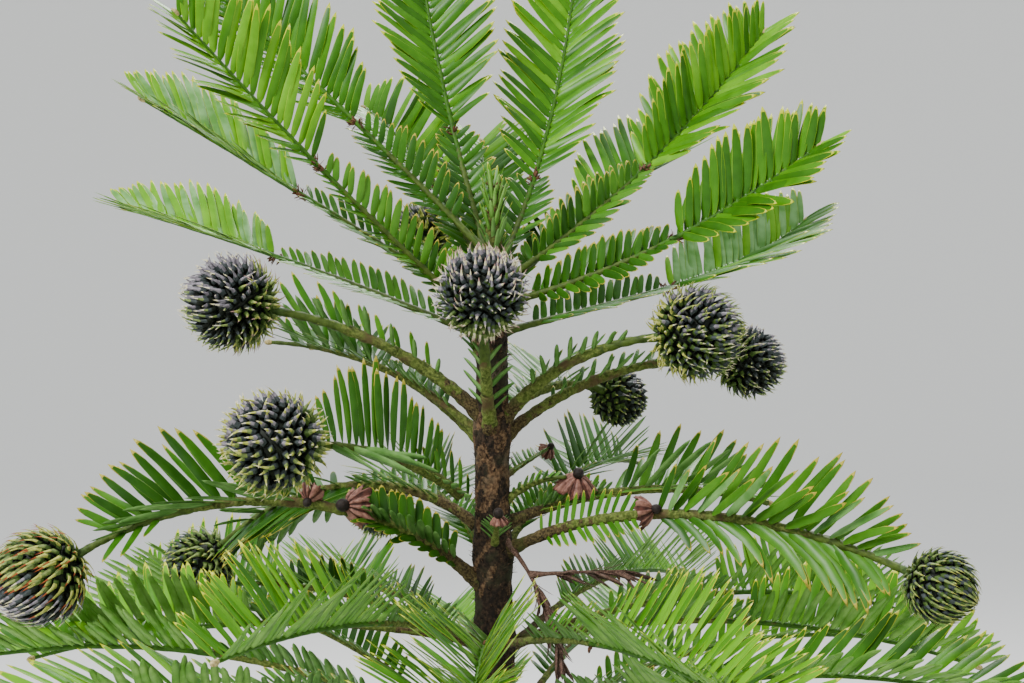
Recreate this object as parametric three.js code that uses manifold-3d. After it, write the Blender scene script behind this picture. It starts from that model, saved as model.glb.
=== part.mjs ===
// A young wollemi pine rooted in the ground. One straight trunk carries whorls of boughs that never
// branch. Each bough is leafed as a flat feather, with one row of needles raised on either side, and
// those of the upper whorls end in a spiny seed cone. Millimetres and degrees, +Z up, origin in the
// middle of the flat cut at ground level. A bearing of 0 points along +X and -90 to the front, -Y.
import * as THREE from "three";
import { mergeVertices } from "three/addons/utils/BufferGeometryUtils.js";
import Module from "manifold-3d";

const wasm = await Module();
wasm.setup();

const trunk = {
  sides: 12,
  ringSpacing: 30,
  // height above the ground and radius of the bare stem
  profile: [[0, 22.5], [680, 16.4], [870, 14.2], [960, 13], [1010, 10], [1050, 7], [1092, 3]],
  flare: { radius: 13, height: 34, lobes: 5, lobeDepth: 0.3 },
  swelling: { radius: 2.4, height: 17 },
  sway: { reach: 3, from: 650, halfWave: 500 },
};
const CLEARANCE = 0.32; // between solids that meet
const NEEDLE_CLEARANCE = 0.8; // between a needle and another limb's solid
const LIMB_STEPS = 24; // straight steps that a limb's curve is followed in

// Stretches of a limb that bear needles, one for each year's growth: from and to are shares of the
// limb's length, longest is the needle in the middle of the stretch, pairs the needles modelled.
const growths = {
  crown: (scar) => [
    { from: 0.12, to: scar - 0.02, longest: 42, pairs: 7 },
    { from: scar + 0.01, to: 1, longest: 74, pairs: 12 },
  ],
  back: () => [
    { from: 0.3, to: 0.58, longest: 40, pairs: 6 },
    { from: 0.6, to: 1, longest: 62, pairs: 9 },
  ],
  coneShort: () => [{ from: 0.3, to: 0.88, longest: 30, pairs: 5 }],
  coneSparse: () => [{ from: 0.3, to: 0.92, longest: 54, pairs: 7 }],
  coneLong: () => [
    { from: 0.16, to: 0.4, longest: 26, pairs: 7 },
    { from: 0.44, to: 0.9, longest: 82, pairs: 9 },
  ],
  coneMiddle: () => [
    { from: 0.22, to: 0.5, longest: 28, pairs: 5 },
    { from: 0.54, to: 0.9, longest: 74, pairs: 7 },
  ],
  stub: () => [{ from: 0.3, to: 0.92, longest: 16, pairs: 5 }],
  lower: () => [
    { from: 0.22, to: 0.5, longest: 42, pairs: 3 },
    { from: 0.5, to: 1, longest: 74, pairs: 5 },
  ],
};

// The limbs of the upper whorls. height is where the limb's line leaves the trunk's own, rise its
// slope at the trunk and at its tip, bend how late it turns from one to the other, roll how far its
// upper face is turned to its right-hand side, raise how far each row of needles stands up, boughTo
// the share of the length that is bough, cone the radius of the seed cone at its end, or 0.
const crown = [
  { name: "crown_frond_1", height: 1018, bearing: 118, length: 360, rise: [56, 72], roll: -12,
    scar: 0.42 },
  { name: "crown_frond_2", height: 1012, bearing: 68, length: 372, rise: [38, 73], roll: 12,
    scar: 0.36 },
  { name: "crown_frond_3", height: 1005, bearing: 20, length: 350, rise: [32, 52], roll: 45, scar: 0.5,
    raise: 32 },
  { name: "crown_frond_4", height: 990, bearing: -22, length: 308, rise: [12, 36], roll: 48,
    scar: 0.55, raise: 32 },
  { name: "crown_frond_5", height: 966, bearing: 28, length: 350, rise: [13, 38], bend: 4, roll: 20,
    scar: 0.52, raise: 32 },
  { name: "crown_frond_6", height: 968, bearing: -160, length: 368, rise: [40, 47], roll: -45,
    scar: 0.55 },
  { name: "crown_frond_7", height: 1030, bearing: 166, length: 372, rise: [45, 42], roll: -40,
    scar: 0.45, raise: 28 },
  { name: "crown_frond_8", height: 980, bearing: 178, length: 352, rise: [34, 30], roll: -28,
    scar: 0.55, raise: 36 },
  { name: "crown_frond_9", height: 960, bearing: 158, length: 388, rise: [22, 15], roll: -28,
    scar: 0.57, raise: 40 },
  { name: "crown_frond_10", height: 992, bearing: 130, length: 268, rise: [62, 27], roll: -20,
    scar: 0.5 },
  { name: "crown_frond_11", height: 980, bearing: 94, length: 250, rise: [52, 34], roll: 0, scar: 0.5 },
  { name: "crown_frond_12", height: 986, bearing: 38, length: 268, rise: [46, 22], roll: 15, scar: 0.5,
    raise: 32 },
].map((frond) => ({ base: 3.8, tip: 1.8, raise: 24, growth: growths.crown(frond.scar), ...frond }));

const upper = [
  { name: "front_cone", height: 874, bearing: -97, length: 104, rise: [48, 72], base: 7, tip: 5,
    cone: 42, growth: growths.coneShort() },
  { name: "left_cone", height: 888, bearing: -170, length: 206, rise: [47, 10], base: 7.2, cone: 45,
    raise: 52, growth: growths.coneSparse() },
  { name: "right_cone", height: 880, bearing: -18, length: 166, rise: [56, 6], base: 7.2, cone: 43,
    growth: growths.coneShort() },
  { name: "right_far_cone", height: 870, bearing: 10, length: 216, rise: [44, -3], base: 6, cone: 34,
    growth: growths.coneShort() },
  { name: "right_back_cone", height: 886, bearing: 46, length: 150, rise: [40, -16], base: 5.4,
    cone: 28, growth: growths.coneShort() },
].map((limb) => ({ tip: 4, roll: 0, raise: 36, boughTo: 0.5, ...limb }));

const middle = [
  { name: "left_long", height: 744, bearing: -166, length: 368, rise: [46, -30], roll: -30, base: 6.8,
    cone: 42, growth: growths.coneLong() },
  { name: "left_front", height: 788, bearing: -137, length: 216, rise: [80, 4], bend: 0.42, roll: -45,
    base: 6.8, cone: 45, raise: 35, growth: growths.coneMiddle() },
  { name: "left_low", height: 785, bearing: 160, length: 288, rise: [64, -40], bend: 0.6, roll: 0,
    base: 5.8, cone: 36, growth: growths.coneMiddle() },
  { name: "right_long", height: 774, bearing: -26, length: 365, rise: [36, -22], bend: 0.7, roll: 68,
    base: 6, cone: 31, raise: 26, growth: growths.coneLong() },
  { name: "right_back", height: 800, bearing: 14, length: 256, rise: [24, -16], roll: 10, base: 5.4,
    cone: 0, growth: growths.coneLong() },
].map((limb) => ({ tip: 3.6, raise: 30, boughTo: 0.4, ...limb }));

// Limbs that spring from the trunk leafy, or are too short to have a bare bough. The stubs' balls are
// shed pollen cones.
const direct = [
  { name: "left_back", height: 870, bearing: 166, length: 225, rise: [46, 2], base: 5,
    growth: growths.coneMiddle() },
  { name: "back_cone", height: 896, bearing: 112, length: 220, rise: [62, 26], base: 4.6, cone: 34,
    growth: growths.back() },
  { name: "back_left", height: 862, bearing: 138, length: 250, rise: [40, 4], base: 4.6,
    growth: growths.back() },
  { name: "back_right", height: 856, bearing: 76, length: 250, rise: [34, 2], base: 4.6,
    growth: growths.back() },
  { name: "back_low_cone", height: 756, bearing: 112, length: 300, rise: [40, -20], base: 5, cone: 36,
    growth: growths.coneLong() },
  { name: "back_low", height: 768, bearing: 62, length: 320, rise: [36, -10], base: 4.6,
    growth: growths.coneLong() },
  { name: "right_stub", height: 812, bearing: -8, length: 74, rise: [54, 2], base: 4, cone: 15,
    growth: growths.stub() },
  { name: "right_back_stub", height: 838, bearing: 50, length: 78, rise: [22, 18], base: 3, cone: 8,
    growth: growths.stub() },
  { name: "front_stub", height: 772, bearing: -84, length: 62, rise: [56, 30], base: 4,
    growth: growths.stub() },
].map((limb) => ({ tip: 2, roll: 0, raise: 30, cone: 0, ...limb }));

// The lower whorls, from the one at the photograph's foot down. Each is three forks of three boughs.
const lower = {
  // height on the trunk, length of a bough, and for each fork its bearing, the spread between its
  // boughs and their rise at the fork and at the tip
  whorls: [
    { height: 697, length: 405, forks: [[30, 30, 15, -17], [150, 30, 15, -17], [270, 21, 17, -8]] },
    { height: 604, length: 435, forks: [[64, 38, 32, -12], [184, 38, 32, -12], [304, 38, 32, -12]] },
    { height: 508, length: 445, forks: [[92, 38, 30, -16], [212, 38, 30, -16], [332, 38, 30, -16]] },
    { height: 412, length: 440, forks: [[34, 38, 28, -20], [154, 38, 28, -20], [274, 38, 28, -20]] },
    { height: 316, length: 425, forks: [[58, 38, 24, -24], [178, 38, 24, -24], [298, 38, 24, -24]] },
    { height: 224, length: 390, forks: [[80, 38, 20, -26], [200, 38, 20, -26], [320, 38, 20, -26]] },
  ],
  jitter: { bearing: 4, length: 0.08, rise: 4, roll: 12 },
  stemRadius: 6.4,
  stemReach: 16, // how far the shared stem stands out of the trunk
  base: 4.4,
  tip: 1.8,
  raise: 34,
};

const needle = {
  sweep: 56, // between a needle and its limb
  endShare: 0.5, // length of a stretch's end needles against its longest
};

const bark = new THREE.MeshStandardMaterial({ color: 0x5d4636, roughness: 0.95, metalness: 0 });
const boughBark = new THREE.MeshStandardMaterial({ color: 0x5f6434, roughness: 0.9, metalness: 0 });
const foliage = new THREE.MeshStandardMaterial({ color: 0x4f8a2b, roughness: 0.6, metalness: 0 });

// Even, repeatable numbers from 0 to 1.
function seeded(seed) {
  let state = seed;
  return () => (state = (state * 16807) % 2147483647) / 2147483647;
}

const rad = THREE.MathUtils.degToRad;
const mix = THREE.MathUtils.lerp;

function solidOf(geometry) {
  const bare = new THREE.BufferGeometry().setAttribute("position", geometry.getAttribute("position"));
  bare.setIndex(geometry.index);
  const merged = mergeVertices(bare, 1e-4);
  return new wasm.Manifold(
    new wasm.Mesh({
      numProp: 3,
      vertProperties: new Float32Array(merged.attributes.position.array),
      triVerts: new Uint32Array(merged.index.array),
    }),
  );
}

function geometryOf(solid) {
  const mesh = solid.getMesh();
  const geometry = new THREE.BufferGeometry();
  geometry.setAttribute("position", new THREE.BufferAttribute(mesh.vertProperties, 3));
  geometry.setIndex(new THREE.BufferAttribute(mesh.triVerts, 1));
  geometry.computeVertexNormals();
  return geometry;
}

function indexed(points, faces) {
  const geometry = new THREE.BufferGeometry();
  geometry.setAttribute("position", new THREE.Float32BufferAttribute(points.flatMap((p) => p.toArray()), 3));
  geometry.setIndex(faces.flat());
  return geometry;
}

// Rings of points joined into a closed skin, with a fan over each end. Each ring runs
// anticlockwise as seen from the end that the rings lead to.
function loft(rings) {
  const sides = rings[0].length;
  const points = rings.flat();
  const faces = [];
  for (let i = 0; i + 1 < rings.length; i++)
    for (let j = 0; j < sides; j++) {
      const a = i * sides + j;
      const b = i * sides + ((j + 1) % sides);
      faces.push([a, b, b + sides], [a, b + sides, a + sides]);
    }
  const last = (rings.length - 1) * sides;
  for (let j = 1; j + 1 < sides; j++) faces.push([0, j + 1, j], [last, last + j, last + j + 1]);
  return indexed(points, faces);
}

// The trunk

function trunkAxis(height) {
  const { reach, from, halfWave } = trunk.sway;
  const rooted = Math.min(height / 300, 1);
  return new THREE.Vector3(-reach * rooted * Math.sin((Math.PI * (height - from)) / halfWave), 0, height);
}

const swellingHeights = [...new Set([780, 884, ...lower.whorls.map((whorl) => whorl.height + 12)])];

function trunkRadius(height) {
  const { profile, swelling } = trunk;
  const next = Math.max(1, profile.findIndex(([level]) => level >= height));
  const [low, high] = [profile[next - 1], profile[next]];
  const plain = mix(low[1], high[1], (height - low[0]) / (high[0] - low[0]));
  const bump = (level) => Math.exp(-(((height - level) / swelling.height) ** 2));
  return plain + swelling.radius * swellingHeights.reduce((sum, level) => sum + bump(level), 0);
}

function trunkSolid(grow) {
  const top = trunk.profile.at(-1)[0];
  const heights = [0, 8, 18, 32, 55, 85];
  for (let z = 115; z < top - 10; z += trunk.ringSpacing) heights.push(z);
  heights.push(top);
  const { radius, height: flareHeight, lobes, lobeDepth } = trunk.flare;
  const rings = heights.map((z) =>
    Array.from({ length: trunk.sides }, (_, j) => {
      const turn = (2 * Math.PI * j) / trunk.sides;
      const root = radius * Math.exp(-z / flareHeight) * (1 + lobeDepth * Math.cos(lobes * turn));
      const r = trunkRadius(z) + root + grow;
      return trunkAxis(z).add(new THREE.Vector3(r * Math.cos(turn), r * Math.sin(turn), 0));
    }),
  );
  return solidOf(loft(rings));
}

// Limbs

// Where a limb's line is and how it is turned, at evenly spaced shares of its length. along is the
// way to the tip, up its upper face's own direction and side its right-hand side's.
function limbFrames(limb) {
  const frames = [];
  const step = limb.length / LIMB_STEPS;
  const point = limb.start ? limb.start.clone() : trunkAxis(limb.height);
  const bearing = rad(limb.bearing);
  const out = new THREE.Vector3(Math.cos(bearing), Math.sin(bearing), 0);
  const right = new THREE.Vector3(Math.sin(bearing), -Math.cos(bearing), 0);
  const riseAt = (share) => rad(mix(limb.rise[0], limb.rise[1], share ** (limb.bend ?? 1)));
  const direction = (rise) => out.clone().multiplyScalar(Math.cos(rise)).setZ(Math.sin(rise));
  for (let i = 0; i <= LIMB_STEPS; i++) {
    const along = direction(riseAt(i / LIMB_STEPS));
    const level = new THREE.Vector3().crossVectors(right, along);
    const roll = rad(limb.roll);
    const up = level.clone().multiplyScalar(Math.cos(roll)).addScaledVector(right, Math.sin(roll));
    const side = right.clone().multiplyScalar(Math.cos(roll)).addScaledVector(level, -Math.sin(roll));
    frames.push({ point: point.clone(), along, up, side });
    point.addScaledVector(direction(riseAt((i + 0.5) / LIMB_STEPS)), step);
  }
  return frames;
}

function frameAt(limb, share) {
  const at = THREE.MathUtils.clamp(share, 0, 1) * LIMB_STEPS;
  const i = Math.min(Math.floor(at), LIMB_STEPS - 1);
  const [a, b] = [limb.frames[i], limb.frames[i + 1]];
  const between = (key) => a[key].clone().lerp(b[key], at - i);
  return {
    point: between("point"),
    along: between("along").normalize(),
    up: between("up").normalize(),
    side: between("side").normalize(),
  };
}

const radiusAt = (limb, share) => mix(limb.base, limb.tip, Math.min(1, share));

// A tapering limb with round-cornered section between two shares of its length.
function boughSolid(limb, from, to, steps = 7, sides = 6) {
  const rings = Array.from({ length: steps + 1 }, (_, i) => {
    const share = mix(from, to, i / steps);
    const { point, up, side } = frameAt(limb, share);
    const r = radiusAt(limb, share);
    return Array.from({ length: sides }, (_, j) => {
      const turn = (2 * Math.PI * j) / sides;
      const corner = point.clone().addScaledVector(side, -r * Math.cos(turn));
      return corner.addScaledVector(up, r * Math.sin(turn));
    });
  });
  return solidOf(loft(rings));
}

// Needles

// Where each of a limb's modelled needles is rooted, and the tip that it reaches.
function needlesOf(limb) {
  const needles = [];
  for (const { from, to, longest, pairs } of limb.growth)
    for (let i = 0; i < pairs; i++) {
      const [start, end] = [mix(from, to, i / pairs), mix(from, to, (i + 1) / pairs)];
      const { point, along, up, side } = frameAt(limb, (start + end) / 2);
      const swell = Math.sin(Math.PI * ((i + 0.5) / pairs) ** 0.85);
      const reach = longest * mix(needle.endShare, 1, swell);
      for (const hand of [1, -1]) {
        const outward = side.clone().multiplyScalar(hand * Math.cos(rad(limb.raise)));
        outward.addScaledVector(up, Math.sin(rad(limb.raise)));
        const way = along.clone().multiplyScalar(Math.cos(rad(needle.sweep)));
        way.addScaledVector(outward, Math.sin(rad(needle.sweep)));
        needles.push({ start, end, hand, tip: point.clone().addScaledVector(way, reach) });
      }
    }
  return needles;
}

const corners = (limb, share) => {
  const { point, up, side } = frameAt(limb, share);
  const r = radiusAt(limb, share) * 0.8;
  const corner = (x, z) => point.clone().addScaledVector(side, x * r).addScaledVector(up, z * r);
  return [corner(1, -1), corner(1, 1), corner(-1, 1), corner(-1, -1)];
};

// One needle as the four-sided spike that stands on a side of its limb.
function needleSolid(limb, { start, end, hand, tip }) {
  const [near, far] = [corners(limb, start), corners(limb, end)];
  const [low, high] = hand > 0 ? [0, 1] : [3, 2];
  const root = [near[low], far[low], far[high], near[high]];
  if (hand < 0) root.reverse();
  const faces = [[0, 2, 1], [0, 3, 2], [0, 1, 4], [1, 2, 4], [2, 3, 4], [3, 0, 4]];
  return solidOf(indexed([...root, tip], faces));
}

// The leafy part of a limb: a four-sided stem whose side walls are drawn out into needles, closed
// by a pointed bud. from is where the stem begins, as a share of the length.
function sprayGeometry(limb, from, needles) {
  const shares = new Set([from]);
  const firstLeaf = limb.growth[0].from;
  for (let s = from; s < firstLeaf - 0.1; s += 0.1) shares.add(s);
  for (const { start, end } of needles) shares.add(start).add(end);
  shares.add(1);
  const stations = [...shares].sort((a, b) => a - b).filter((s, i, all) => !i || s - all[i - 1] > 1e-6);
  const points = stations.flatMap((share) => corners(limb, share));
  const faces = [];
  const quad = (a, b, c, d) => faces.push([a, b, c], [a, c, d]);
  const find = (share, hand) => needles.find((n) => n.hand === hand && Math.abs(n.start - share) < 1e-6);
  stations.slice(0, -1).forEach((share, i) => {
    const [p, q] = [4 * i, 4 * i + 4];
    quad(p + 1, q + 1, q + 2, p + 2); // upper wall
    quad(p + 3, q + 3, q, p); // lower wall
    for (const [hand, a, b] of [[1, 0, 1], [-1, 2, 3]]) {
      const leaf = find(share, hand);
      const rim = [p + a, q + a, q + b, p + b];
      if (!leaf) quad(...rim);
      else {
        const tip = points.push(leaf.tip) - 1;
        rim.forEach((corner, k) => faces.push([corner, rim[(k + 1) % 4], tip]));
      }
    }
  });
  const last = 4 * (stations.length - 1);
  faces.push([0, 1, 2], [0, 2, 3]);
  const bud = frameAt(limb, 1);
  const budLength = limb.cone ? 0.1 : 7;
  const middle = points[last].clone().lerp(points[last + 2], 0.5);
  const tip = points.push(middle.addScaledVector(bud.along, budLength)) - 1;
  for (let k = 0; k < 4; k++) faces.push([last + ((k + 1) % 4), last + k, tip]);
  return indexed(points, faces);
}

// A seed cone: a ball a little longer than wide, some of whose corners stand out as scale tips.
function coneSolid(limb) {
  const { point, along } = frameAt(limb, 1);
  const ball = new THREE.IcosahedronGeometry(1, 1);
  const geometry = mergeVertices(ball.deleteAttribute("normal").deleteAttribute("uv"));
  const place = geometry.getAttribute("position");
  const centre = point.clone().addScaledVector(along, limb.cone * 0.9);
  const turn = new THREE.Quaternion().setFromUnitVectors(new THREE.Vector3(0, 0, 1), along);
  const fiveFold = new THREE.IcosahedronGeometry(1, 0).getAttribute("position");
  for (let i = 0; i < place.count; i++) {
    const corner = new THREE.Vector3().fromBufferAttribute(place, i);
    const isFiveFold = Array.from({ length: fiveFold.count }, (_, k) => k).some(
      (k) => new THREE.Vector3().fromBufferAttribute(fiveFold, k).distanceTo(corner) < 1e-3,
    );
    corner.multiplyScalar(limb.cone * (isFiveFold ? 0.84 : 1));
    corner.z *= 1.06;
    corner.applyQuaternion(turn).add(centre);
    place.setXYZ(i, corner.x, corner.y, corner.z);
  }
  return solidOf(geometry);
}

// The tree

const tree = new THREE.Group();
const placed = [];

function add(name, solid, material) {
  const mesh = new THREE.Mesh(geometryOf(solid), material);
  mesh.name = name;
  tree.add(mesh);
  placed.push({ name, solid, box: solid.boundingBox() });
}

function nearby(solid) {
  const box = solid.boundingBox();
  const reaches = (other) =>
    [0, 1, 2].every((i) => box.min[i] - 1 < other.box.max[i] && other.box.min[i] - 1 < box.max[i]);
  return placed.filter(reaches);
}

// The limb's needles that reach no other limb. One in the way is shortened, and then left out.
function freeNeedles(limb) {
  const roomy = (leaf) => {
    const solid = needleSolid(limb, leaf);
    return nearby(solid).every((other) => solid.minGap(other.solid, NEEDLE_CLEARANCE) >= NEEDLE_CLEARANCE);
  };
  return needlesOf(limb).flatMap((leaf) => {
    const root = frameAt(limb, (leaf.start + leaf.end) / 2).point;
    for (const share of [1, 0.75, 0.55]) {
      const shorter = { ...leaf, tip: root.clone().lerp(leaf.tip, share) };
      if (roomy(shorter)) return [shorter];
    }
    return [];
  });
}

function spraySolid(limb, from) {
  const spray = solidOf(sprayGeometry(limb, from, freeNeedles(limb)));
  return limb.cone ? spray.add(coneSolid(limb)) : spray;
}

const trunkItself = trunkSolid(0);
const trunkRoom = trunkSolid(CLEARANCE * 1.05);
add("trunk", trunkItself, bark);

for (const limb of [...upper, ...middle]) {
  limb.frames = limbFrames(limb);
  add("bough_" + limb.name, boughSolid(limb, 0, limb.boughTo).subtract(trunkRoom), boughBark);
}
for (const limb of [...upper, ...middle])
  add("foliage_" + limb.name, spraySolid(limb, limb.boughTo + CLEARANCE / limb.length), foliage);
for (const limb of [...direct, ...crown]) {
  limb.frames = limbFrames(limb);
  add("foliage_" + limb.name, spraySolid(limb, 0).subtract(trunkRoom), foliage);
}

// One fork of a lower whorl: a short stem out of the trunk that carries leafy boughs.
function forkSolid(whorl, [middleBearing, spread, first, last], random) {
  const wobble = (reach) => reach * (2 * random() - 1);
  const reach = trunkRadius(whorl.height) + lower.stemReach;
  const stem = {
    height: whorl.height,
    bearing: middleBearing,
    length: reach,
    rise: [first, first],
    roll: 0,
    base: lower.stemRadius,
    tip: lower.stemRadius * 0.85,
  };
  stem.frames = limbFrames(stem);
  const sprays = [-spread, 0, spread].map((aside) => {
    const limb = {
      start: frameAt(stem, 0.72).point,
      bearing: middleBearing + aside + wobble(lower.jitter.bearing),
      length: whorl.length * (1 + wobble(lower.jitter.length)),
      rise: [first, last].map((rise) => rise + wobble(lower.jitter.rise)),
      roll: wobble(lower.jitter.roll),
      base: lower.base,
      tip: lower.tip,
      raise: lower.raise,
      growth: growths.lower(),
    };
    limb.frames = limbFrames(limb);
    return spraySolid(limb, 0);
  });
  return sprays.reduce((whole, spray) => whole.add(spray), boughSolid(stem, 0, 1, 2)).subtract(trunkRoom);
}

lower.whorls.forEach((whorl, tier) => {
  whorl.forks.forEach((fork, i) => {
    const random = seeded(101 + 17 * tier + 5 * i);
    add(`foliage_lower_${tier + 1}_${i + 1}`, forkSolid(whorl, fork, random), foliage);
  });
});

export default tree;
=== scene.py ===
import math

import bpy
import numpy as np
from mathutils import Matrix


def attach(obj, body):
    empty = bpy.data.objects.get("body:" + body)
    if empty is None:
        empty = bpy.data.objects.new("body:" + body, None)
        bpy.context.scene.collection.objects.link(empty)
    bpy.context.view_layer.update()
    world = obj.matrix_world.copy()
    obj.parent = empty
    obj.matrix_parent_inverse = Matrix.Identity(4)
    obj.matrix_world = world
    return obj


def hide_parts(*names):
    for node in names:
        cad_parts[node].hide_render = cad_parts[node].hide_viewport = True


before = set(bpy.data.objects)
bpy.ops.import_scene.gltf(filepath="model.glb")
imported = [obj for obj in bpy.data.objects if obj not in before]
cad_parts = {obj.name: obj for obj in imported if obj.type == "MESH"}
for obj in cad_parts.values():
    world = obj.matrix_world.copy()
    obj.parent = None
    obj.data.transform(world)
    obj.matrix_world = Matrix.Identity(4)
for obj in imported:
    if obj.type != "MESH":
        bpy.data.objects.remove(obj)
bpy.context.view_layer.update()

# A young wollemi pine. Sizes are in millimetres and degrees, and become metres in the meshes.
# A bearing of 0 points along +X, and -90 to the front.
metre = 0.001
golden = math.pi * (3 - math.sqrt(5))
upright = np.array([0, 0, 1])


# Small helpers

def unit(vectors):
    return vectors / np.maximum(np.linalg.norm(vectors, axis=-1, keepdims=True), 1e-9)


def roundAngles(sides):
    # the angles of a ring of points
    return np.linspace(0, 2 * math.pi, sides, endpoint=False)[None]


def outwards(angle):
    # the level direction at an angle from +X
    return np.stack([np.cos(angle), np.sin(angle), np.zeros_like(angle)], -1)


def towards(first, second, angle):
    # the first direction turned by an angle towards the second, which is square to it
    return first * np.cos(angle) + second * np.sin(angle)


def squareTo(axis):
    # two directions square to an axis and to each other
    side = unit(np.cross(axis, [0.3, 0.2, 0.9]))
    return side, np.cross(axis, side)


def stacked(rows):
    # dictionaries of the same columns joined end to end
    return {key: np.concatenate([row[key] for row in rows]) for key in rows[0]}


def colour(code):
    # sRGB hex to the linear values that a shader takes
    parts = [int(code[i:i + 2], 16) / 255 for i in (1, 3, 5)]
    return [*(p / 12.92 if p <= 0.04045 else ((p + 0.055) / 1.055) ** 2.4 for p in parts), 1]


def evenRandom(seed):
    # the repeatable numbers from 0 to 1 that the lower boughs are varied by
    state = seed
    while True:
        state = state * 16807 % 2147483647
        yield state / 2147483647


def waves(seed, angle, along, length, count=14, finest=7, fewest=0):
    # Lumps round and along a stem: a sum of sine waves, each with a whole number of turns round the
    # stem, its own length and its own phase. Most values lie from -1 to 1.
    random = np.random.default_rng(seed)
    total = 0
    for _ in range(count):
        turns = random.integers(fewest, finest) * random.choice([-1, 1])
        pitch = length * random.uniform(0.5, 2.2)
        phase = random.uniform(0, 2 * math.pi)
        total = total + np.sin(turns * angle + 2 * math.pi * along / pitch + phase)
    return total / math.sqrt(count)


def lozenges(across, down):
    # 0 on the lines of a slanting grid and 1 in the middle of its cells
    return np.abs(np.sin(math.pi * (across + down / 2)) * np.sin(math.pi * (across - down / 2)))


# Meshes

def addObject(name, data):
    item = bpy.data.objects.new(name, data)
    bpy.context.scene.collection.objects.link(item)
    return item


def addPiece(name, parts, materials, slot, *nodes):
    # A part is (points, four-sided faces, their materials, triangles, their materials).
    points = []
    loops = {4: [], 3: []}
    dealt = {4: [], 3: []}
    first = 0
    for place, quads, quadLook, tris, triLook in parts:
        points.append(place)
        loops[4].append(quads + first)
        loops[3].append(tris + first)
        dealt[4].append(np.broadcast_to(quadLook, len(quads)))
        dealt[3].append(np.broadcast_to(triLook, len(tris)))
        first += len(place)
    points = np.concatenate(points) * metre
    quads = np.concatenate(loops[4])
    tris = np.concatenate(loops[3])
    mesh = bpy.data.meshes.new(name)
    mesh.vertices.add(len(points))
    mesh.vertices.foreach_set("co", points.ravel().astype(np.float32))
    mesh.loops.add(quads.size + tris.size)
    mesh.loops.foreach_set("vertex_index", np.concatenate([quads.ravel(), tris.ravel()]).astype(np.int32))
    starts = np.concatenate([np.arange(len(quads)) * 4, quads.size + np.arange(len(tris)) * 3])
    mesh.polygons.add(len(starts))
    mesh.polygons.foreach_set("loop_start", starts.astype(np.int32))
    looks = np.concatenate([*dealt[4], *dealt[3]]).astype(np.int32)
    mesh.polygons.foreach_set("material_index", looks)
    mesh.polygons.foreach_set("use_smooth", np.ones(len(starts), bool))
    for material in materials:
        mesh.materials.append(material)
    mesh.update(calc_edges=True)
    piece = addObject(name, mesh)
    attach(piece, "root")
    if nodes:
        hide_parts(*nodes)
    print(name, len(quads) * 2 + len(tris), "triangles")


def bands(rows, sides):
    # the four-sided faces between rings of points that follow each other
    ring = np.arange(rows - 1)[:, None] * sides
    spoke = np.arange(sides)
    after = (spoke + 1) % sides
    faces = np.stack([ring + spoke, ring + after, ring + sides + after, ring + sides + spoke], -1)
    return faces.reshape(-1, 4)


def fan(first, sides, middle):
    # the triangles between a ring of points, numbered from first, and one more point
    spoke = np.arange(sides)
    return np.stack([first + spoke, first + (spoke + 1) % sides, np.full(sides, middle)], -1)


def skin(rings, look=0):
    # Rings of points joined into a closed tube, with a fan of triangles to each end's middle.
    # look is one material, or one for each face between two rings.
    count, sides = rings.shape[:2]
    points = np.concatenate([rings.reshape(-1, 3), rings[:1].mean(1), rings[-1:].mean(1)])
    near = fan(0, sides, count * sides)[:, ::-1]
    far = fan((count - 1) * sides, sides, count * sides + 1)
    faces = np.broadcast_to(look, (count - 1, sides))
    ends = np.concatenate([faces[0], faces[-1]])
    return points, bands(count, sides), faces.ravel(), np.concatenate([near, far]), ends


def spines(ring, middle):
    # Many small pointed shapes at once, each of rings of points along its middle line, which ends in
    # a point. A fan closes the tip, and another the foot. Returns points, quads and triangles.
    count, rows, sides = ring.shape[0], ring.shape[1] - 1, ring.shape[2]
    points = np.concatenate([ring[:, :rows].reshape(count, rows * sides, 3), middle[:, rows:]], 1)
    each = rows * sides + 1
    tip = fan((rows - 1) * sides, sides, each - 1)
    foot = np.array([[0, i + 1, i] for i in range(1, sides - 1)])
    offset = (np.arange(count) * each)[:, None, None]
    quads = bands(rows, sides)[None] + offset
    tris = np.concatenate([tip, foot])[None] + offset
    return points.reshape(-1, 3), quads.reshape(-1, 4), tris.reshape(-1, 3)


def blades(root, way, up, length, width, shape):
    # Flat pointed leaves, all built at once. A blade's middle line is root + length * (t * way +
    # (t - t^2) * bend), t from 0 to 1, where bend is bow sideways and arch upward. twist turns its foot.
    # Across it has six points: two edges, two where the pale margin starts, the midrib and the keel.
    across = unit(np.cross(up, way))
    top = np.cross(way, across)
    steps = np.array(shape["steps"])
    t = steps[None, :, None]
    bend = across * shape["bow"][:, None] + top * shape["arch"][:, None]
    middle = root[:, None] + length[:, None, None] * (t * way[:, None] + (t - t * t) * bend[:, None])
    twist = shape["twist"][:, None, None] * (1 - t) ** 4
    wide = towards(across[:, None], top[:, None], twist)
    high = towards(top[:, None], -across[:, None], twist)
    half = width[:, None, None] / 2 * shape["widths"][..., None]
    rim = np.minimum(np.array(shape["margins"])[None, :, None], half * 0.55)
    inner = half - rim
    lift = half * shape["channel"]
    deep = half * shape["depth"]
    ring = np.stack([
        middle + wide * half,
        middle + wide * inner + high * lift,
        middle,
        middle - wide * inner + high * lift,
        middle - wide * half,
        middle - high * deep,
    ], 2)
    return spines(ring, middle)


flakeShape = {"steps": [0, 0.35, 0.8, 1], "widths": [0.5, 1, 0.7, 0], "thickness": 0.25}


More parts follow.
